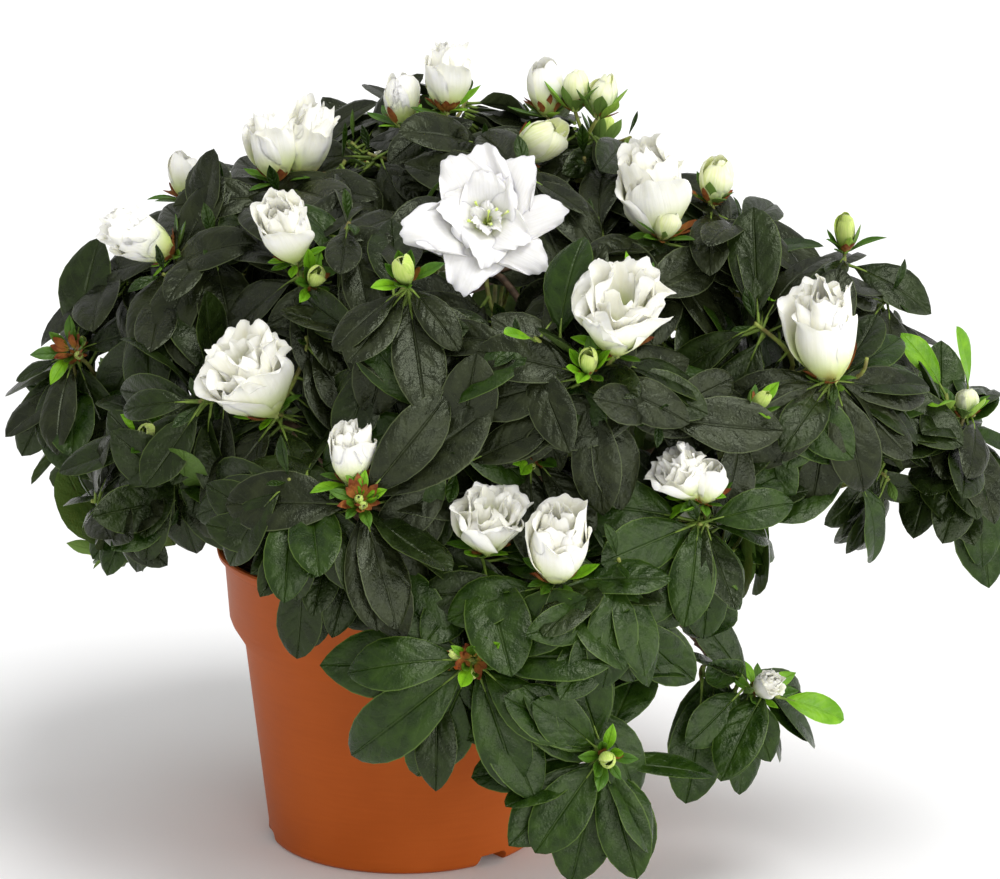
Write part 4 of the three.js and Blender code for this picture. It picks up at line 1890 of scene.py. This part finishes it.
    def place_shoots(self) -> None:
        """Sets the named shoots in their places, then fills the rest of the outside evenly."""
        for mass, shoots in SHOOTS.items():
            for shoot in shoots:
                shoot.mass = mass
                shoot.axis = unit(np.array(shoot.aim, dtype=float))
                right, front, up = shoot.place
                head = self.masses[mass] + np.array((right, -front, up)) * MM
                shoot.tip = head - shoot.axis * shoot.head.value[0] * MM * shoot.size
                self.shoots.append(shoot)
        for name, centre in self.masses.items():
            if name not in self.bare:
                self.shoots.append(self.inner(name, centre))
            if centre[2] > self.rim.z + self.deep_above:
                self.shoots.append(self.inner(name, centre * (1.0 - self.deep) + self.heart * self.deep))
        points, normals, names = self.outer_points()
        taken = [shoot.tip for shoot in self.shoots]
        for point, normal, name in zip(points, normals, names):
            shoot = self.filler(point, normal, name)
            spacing = self.spacing if name in SHOOTS else self.spacing_behind
            if name in self.bare or min(np.linalg.norm(shoot.tip - other) for other in taken) < spacing:
                continue
            if name in SHOOTS and self.in_clearing(point):
                continue
            self.shoots.append(shoot)
            taken.append(shoot.tip)
        for shoot in self.shoots:
            self.clear_for(shoot)
        by_name = sum(map(len, SHOOTS.values()))
        log.info("crown: %d shoots, %d of them placed by name", len(self.shoots), by_name)

    def inner(self, name: str, centre: Array) -> Shoot:
        """Makes a leafy shoot in the middle of a mass, which closes the view through the crown."""
        return Shoot(
            Head.LEAVES,
            leaves=8,
            young=0,
            # Inner leaves are dealt the darker tints and never the fresh one: painted shade for the crown's
            # shaded inside.
            tint=Tint.DARK if centre[2] > self.heart[2] + 40.0 * MM else Tint.DEEP,
            beyond=-6.0,
            mass=name,
            tip=centre,
            axis=unit(unit(centre - self.heart) + self.rng.normal(0.0, 0.25, 3)),
        )

    def filler(self, point: Array, normal: Array, name: str) -> Shoot:
        """Makes a shoot for a point on the outside of a mass, with a flower only where it can't be seen."""
        rng = self.rng
        axis = unit(normal * 0.5 + unit(point - self.heart) * 0.6 + UP * 0.3 + rng.normal(0.0, 0.18, 3))
        far = name not in SHOOTS and not self.seen_from_front(point)
        odds = FAR_ODDS if far else NEAR_ODDS
        head = list(odds)[rng.choice(len(odds), p=list(odds.values()))]
        size = rng.uniform(0.85, 1.05)
        return Shoot(
            head,
            size=size,
            leaves=int(rng.integers(9, 13)),
            young=1,
            beyond=2.0 if name in SHOOTS else 5.5,
            mass=name,
            tip=point - axis * max(self.inset, head.value[0] * size * 1.3 * MM),
            axis=axis,
        )

    def seen_from_front(self, point: Array) -> bool:
        """Says whether a flower at a point would show past the crown, seen from the front."""
        eye, reach = np.array(Studio.eye), self.flower_reach
        for right, up in ((0.0, 0.0), (reach, 0.0), (-reach, 0.0), (0.0, reach), (0.0, -reach)):
            place = point + (right, 0.0, up)
            if self.envelope.open_towards(place, unit(eye - place), 1.0):
                return True
        return False

    def gap(self, right: float, up: float, radius: float) -> Clearing:
        """Makes a clearing through the whole crown, along the line of sight, from sizes in mm."""
        eye, place = np.array(Studio.eye), np.array((right, 0.0, up)) * MM
        sight = (place - eye) / abs(eye[1])
        return Clearing(place - sight * self.gap_reach, place + sight * self.gap_reach, radius * MM)

    def clear_for(self, shoot: Shoot) -> None:
        """Keeps the space in front of a head clear of leaves."""
        height, radius = (value * MM * shoot.size for value in shoot.head.value)
        if radius <= 0.0:
            return
        radius += self.clear_margin
        centre = shoot.tip + shoot.axis * height
        sight = np.array(self.view) if shoot.mass in SHOOTS else shoot.axis
        self.clearings.append(Clearing(centre, centre + sight * self.clear_reach, radius))
        self.clearings.append(Clearing(centre, centre + shoot.axis * height, radius * 0.9))

    def in_clearing(self, point: Array) -> bool:
        """Says whether a point is in some bloom's clearing."""
        return any(clearing.holds(point) for clearing in self.clearings)

    # Twigs

    def limb_end(self, node: str) -> Array:
        """Returns where a limb of the construction ends."""
        points = np.array([vert.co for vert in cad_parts[node].data.vertices])
        reach = np.linalg.norm(points - self.stem_top, axis=1)
        cap = points[reach > reach.max() - 4.0 * MM]
        return (cap.min(axis=0) + cap.max(axis=0)) / 2

    def add_twig(self, joined: Joined, ends: tuple[Array, ...], radii: tuple[float, float]) -> Array:
        """Adds a twig along a cubic curve, from its radii in mm at start and end, and returns its path."""
        path = bezier(*ends, self.twig_points)
        thick = np.linspace(*radii, self.twig_points) * MM
        joined.add(self.parts.twig, along_path(self.parts.twig, path, thick))
        return path

    def grow_twigs(self) -> None:
        """Grows the boughs on from the limbs' ends, mass by mass outward, and a twig to each shoot."""
        forks: dict[str, tuple[Array, Array]] = {}
        order = sorted(self.masses, key=lambda name: np.linalg.norm(self.masses[name] - self.heart))
        for name in order:
            centre = self.masses[name]
            facing = unit(centre - self.heart)
            fork = centre - facing * self.fork_inset
            node = f"bough_{name}"
            if node in BOUGHS:
                start, leave = self.limb_end(node), facing
            else:
                start, leave = self.parent_of(fork, forks)
            reach = np.linalg.norm(fork - start)
            away, back = start + leave * reach * 0.35, fork - facing * reach * 0.35
            ends = (start - leave * self.joint, away, back, fork)
            self.add_twig(self.parts.old_twigs, ends, self.woody_radii)
            forks[name] = (fork, facing)
        for shoot in self.shoots:
            fork, facing = forks[shoot.mass]
            reach = np.linalg.norm(shoot.tip - fork)
            bow = self.rng.normal(0.0, 0.12, 3) * reach
            away, back = fork + facing * reach * 0.4 + bow, shoot.tip - shoot.axis * reach * 0.45 + bow
            path = self.add_twig(self.parts.young_twigs, (fork, away, back, shoot.tip), self.young_radii)
            self.leaves_along(shoot, path)

    def parent_of(self, fork: Array, forks: dict[str, tuple[Array, Array]]) -> tuple[Array, Array]:
        """Returns where a twig without a limb of its own leaves from: the nearest fork that is further in."""
        depth = np.linalg.norm(fork - self.heart) - 1.0 * MM
        inner = [pair for pair in forks.values() if np.linalg.norm(pair[0] - self.heart) < depth]
        return min(inner or [(self.stem_top, UP)], key=lambda pair: np.linalg.norm(pair[0] - fork))

    # Leaves

    def allowed(self, points: Array, shoot: Shoot) -> bool:
        """Says whether a leaf may pass through some points.

        Args:
            points: points along its rib, from near its foot, where it may be close under a head.
            shoot: whose leaf it is.

        Returns:
            Whether they are clear of the pot, the ground and the blooms, and near enough to the masses.
        """
        if any(self.in_clearing(point) for point in points[1:]):
            return False
        ceiling = self.masses[shoot.mass][2] + CEILINGS.get(shoot.mass, NO_CEILING) * MM
        for point in points:
            if (point < self.low - self.margin).any() or (point > self.high + self.margin).any():
                return False
            if not self.ground_gap < point[2] < ceiling or self.envelope.beyond(point) > shoot.beyond * MM:
                return False
            above, outside = self.rim_gap
            if point[2] < self.rim.z + above and math.hypot(point[0], point[1]) < self.rim.x + outside:
                return False
        return True

    def add_leaf(
        self, foot: Array, aim: Array, upper: Array, length: float, tint: Tint, stalk: float, shoot: Shoot
    ) -> bool:
        """Adds a leaf with its stalk, unless something is in its way.

        Args:
            foot: where its stalk starts.
            aim: which way it grows.
            upper: roughly which way its upper side faces.
            length: the blade's length.
            tint: its colour.
            stalk: the stalk's length.
            shoot: whose leaf it is.

        Returns:
            Whether it was added.
        """
        rng = self.rng
        form = self.forms[int(rng.integers(len(self.forms)))]
        face = across(aim, upper)
        side = np.cross(aim, face)
        roll = rng.normal(0.0, 0.22)
        c, s = math.cos(roll), math.sin(roll)
        face, side = face * c + side * s, side * c - face * s
        blade_foot = foot + aim * stalk
        points = form @ (np.stack((side, aim, face)) * length) + blade_foot
        probe = points[np.abs(self.parts.leaf.points[:, 0]) < ON_RIB]
        probe = probe[np.argsort((probe - blade_foot) @ aim)][list(PROBED)]
        if not self.allowed(probe, shoot):
            return False
        self.parts.leaves[tint].add(self.parts.leaf, points)
        end = points[self.stalk_end] + face * 0.1 * MM
        path = np.stack((foot, foot + aim * stalk * 0.6, blade_foot + aim * length * 0.06, end))
        radii = np.array(self.stalk_radii) * MM * (0.5 + 0.5 * length / self.leaf_length)
        self.parts.stalks.add(self.parts.stalk, along_path(self.parts.stalk, path, radii))
        return True

    def tint_for(self, shoot: Shoot) -> Tint:
        """Deals a spray its colour: darker towards the top of the crown, fresher low down."""
        if shoot.tint is not None:
            return shoot.tint
        height = (shoot.tip[2] - self.tint_from) / (self.high[2] - self.tint_from)
        value = height + self.rng.normal(0.0, 0.16)
        return Tint.DARK if value > self.dark_above else Tint.DEEP if value > self.fresh_below else Tint.FRESH

    def leaf_ring(self, shoot: Shoot) -> None:
        """Rings a shoot's end with leaves, the oldest and longest lowest."""
        rng, axis = self.rng, shoot.axis
        tint = self.tint_for(shoot)
        spin = rng.uniform(0.0, math.tau)
        outward = unit((shoot.tip - self.heart) * (1.0, 1.0, 0.0))
        if shoot.mass in SHOOTS:
            outward = unit(outward + FORWARD * (0.9 if shoot.splay > 0.3 else 6.0))
        for number in range(shoot.leaves):
            share = number / max(shoot.leaves - 1, 1)
            for attempt in range(6):
                turn = spin + GOLDEN_TURN * number + attempt * 0.7 + rng.normal(0.0, 0.15)
                out = around(axis, turn)
                lean = math.radians(62.0 + 32.0 * share + rng.normal(0.0, 6.0)) * shoot.splay
                sag = 0.22 + 0.30 * share + max(0.0, -out[2]) * 0.15
                aim = unit(tilted(axis, out, lean) - UP * sag)
                foot = shoot.tip - axis * (1.5 + 7.0 * share) * MM
                length = self.leaf_length * (0.68 + 0.36 * math.sin(math.pi * (0.25 + 0.55 * share)))
                length *= rng.uniform(0.88, 1.1) * (1.0 - 0.05 * attempt) * shoot.leaf_size
                upper = axis * 0.9 + UP * 0.6 + outward * 0.5 + rng.normal(0.0, 0.08, 3)
                if self.add_leaf(foot, aim, upper, length, tint, rng.uniform(3.0, 5.0) * MM, shoot):
                    break
        self.young_leaves(shoot)

    def young_leaves(self, shoot: Shoot) -> None:
        """Adds the few small bright leaves that stand round a head."""
        rng, axis = self.rng, shoot.axis
        leafy = shoot.head is Head.LEAVES
        own = Tint.FRESH if leafy else Tint.YOUNG
        extra = 0 if leafy or shoot.young == 0 else 5
        wide = shoot.head in (Head.OPEN, Head.RUFFLED, Head.GOBLET, Head.BUD)
        low, high = (62.0, 84.0) if wide else (30.0, 58.0)
        for number in range(shoot.young + extra):
            turn = GOLDEN_TURN * number + rng.uniform(0.0, 0.5)
            out = around(axis, turn)
            aim = unit(tilted(axis, out, math.radians(rng.uniform(low, high))))
            length = rng.uniform(8.0, 15.0) * MM
            tint = Tint.BRIGHT if rng.random() < (0.0 if leafy else 0.35) else own
            points = self.young_forms[int(rng.integers(len(self.young_forms)))]
            face = across(aim, axis)
            placed = points @ (np.stack((np.cross(aim, face), aim, face)) * length) + shoot.tip + out * MM
            self.parts.leaves[tint].add(self.parts.leaf, placed)

    def leaves_along(self, shoot: Shoot, path: Array) -> None:
        """Sets older leaves down the twig behind a shoot's end."""
        rng = self.rng
        tint = self.tint_for(shoot)
        if tint is Tint.BRIGHT:
            tint = Tint.FRESH
        for number in range(self.along):
            share = self.along_first - self.along_step * number
            at = share * (len(path) - 1)
            index = int(at)
            foot = path[index] * (1 - at + index) + path[index + 1] * (at - index)
            axis = unit(path[index + 1] - path[index])
            out = around(axis, rng.uniform(0.0, math.tau))
            aim = unit(axis * 0.35 + out - UP * rng.uniform(0.1, 0.5))
            length = self.leaf_length * rng.uniform(0.8, 1.0)
            self.add_leaf(foot, aim, axis * 0.5 + UP, length, tint, rng.uniform(3.0, 5.0) * MM, shoot)

    def build(self) -> None:
        """Grows and dresses the crown."""
        self.place_shoots()
        self.grow_twigs()
        flowers = Flowers(self.parts, self.seed + 1)
        for shoot in self.shoots:
            self.leaf_ring(shoot)
            flowers.make(shoot.head, shoot.tip, shoot.axis, shoot.size, shoot.mass in SHOOTS)
        self.parts.build()


@dataclass
class Limbs:
    """The stem and limbs, fused into one mesh with the bark's relief."""

    voxel: float = 0.75 * MM
    ridge: float = 0.35 * MM
    thicker: float = 0.25 * MM
    smoothings: int = 6
    broad: float = 420.0
    fine: float = 1100.0

    def relief(self, point: Array) -> float:
        """Returns how far the bark stands out at a point, from -1 to 1."""
        place = Vector(point)
        return noise.noise(place * self.broad) * 0.6 + noise.noise(place * self.fine) * 0.4

    def build(self) -> None:
        """Builds and dresses the limbs from copies of their construction solids."""
        bm = bmesh.new()
        for node in ["stem", *BOUGHS]:
            bm.from_mesh(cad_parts[node].data)
        bmesh.ops.remove_doubles(bm, verts=bm.verts, dist=SEAM)
        bmesh.ops.recalc_face_normals(bm, faces=bm.faces)
        bm.normal_update()
        for vert in bm.verts:
            vert.co += vert.normal * self.thicker
        fusing = ("REMESH", {"mode": "VOXEL", "voxel_size": self.voxel})
        smoothing = ("SMOOTH", {"factor": 0.5, "iterations": self.smoothings})
        mesh = settled(mesh_of(bm, "limbs"), fusing, smoothing)
        count = len(mesh.vertices)
        points, normals = np.empty(count * 3), np.empty(count * 3)
        mesh.vertices.foreach_get("co", points)
        mesh.vertices.foreach_get("normal", normals)
        points, normals = points.reshape(-1, 3), normals.reshape(-1, 3)
        relief = np.array([self.relief(point) for point in points])
        points += normals * (relief * self.ridge)[:, None]
        mesh.vertices.foreach_set("co", points.ravel())
        mesh.shade_smooth()
        finish_piece("bark_limbs", mesh, BARK.material(), ["stem", *BOUGHS])
        log.info("bark_limbs: %d faces", len(mesh.polygons))


# ---- The studio ----


@dataclass
class Studio:
    """A pale floor under soft light, and the camera.

    Attributes:
        eye: where the camera stands.
        pitch: how far it looks down, in degrees.
        lens: its focal length, in mm.
        sensor: its sensor's width, in mm.
        clip: the nearest and furthest that it sees.
        floor_size: the floor's side.
        sky: how bright the even light is.
        suns: each distant light's name, strength, spread in degrees and where it comes from.
    """

    eye: tuple[float, float, float] = (0.034, -1.68, 0.603)
    pitch: float = 15.3
    lens: float = 180.3
    sensor: float = 36.0
    clip: tuple[float, float] = (0.05, 60.0)
    floor_size: float = 30.0
    sky: float = 0.66
    suns: tuple[tuple[str, float, float, tuple[float, float, float]], ...] = (
        ("key light", 1.75, 30.0, (0.42, -0.50, 1.30)),
        ("front light", 1.2, 40.0, (0.42, -1.0, 0.26)),
        ("side light", 1.2, 40.0, (1.0, -0.30, 0.10)),
    )

    def floor(self) -> None:
        """Lays the floor."""
        bm = bmesh.new()
        bmesh.ops.create_grid(bm, x_segments=2, y_segments=2, size=self.floor_size / 2)
        mesh = mesh_of(bm, "studio floor")
        mesh.materials.append(StudioFinish().material())
        ground = put("studio_floor", mesh)

    def sun(self, name: str, strength: float, spread: float, come_from: tuple[float, float, float]) -> None:
        """Hangs a soft distant light."""
        data = bpy.data.lights.new(name, "SUN")
        data.energy, data.angle = strength, math.radians(spread)
        light = put(name, data)
        light.rotation_euler = Vector(come_from).to_track_quat("Z", "Y").to_euler()

    def build(self) -> None:
        """Sets up the floor, the lights and the camera."""
        self.floor()
        for sun in self.suns:
            self.sun(*sun)
        scene = bpy.context.scene
        world = bpy.data.worlds.new("studio")
        world.use_nodes = True
        background = world.node_tree.nodes["Background"]
        background.inputs["Color"].default_value = (1.0, 1.0, 1.0, 1.0)
        background.inputs["Strength"].default_value = self.sky
        scene.world = world
        data = bpy.data.cameras.new("camera")
        data.lens, data.sensor_width, data.sensor_fit = self.lens, self.sensor, "HORIZONTAL"
        data.clip_start, data.clip_end = self.clip
        camera = put("camera", data)
        camera.location = self.eye
        camera.rotation_euler = (math.radians(90.0 - self.pitch), 0.0, 0.0)
        scene.camera = camera
        scene.view_settings.view_transform = "Standard"


def main() -> None:
    """Builds the studio, the pot and the plant."""
    logging.basicConfig(level=logging.INFO, format="%(name)s: %(message)s")
    Studio().build()
    pot = Pot()
    pot.build()
    Compost().build(pot)
    Limbs().build()
    Crown().build()


if __name__ == "__main__":
    main()
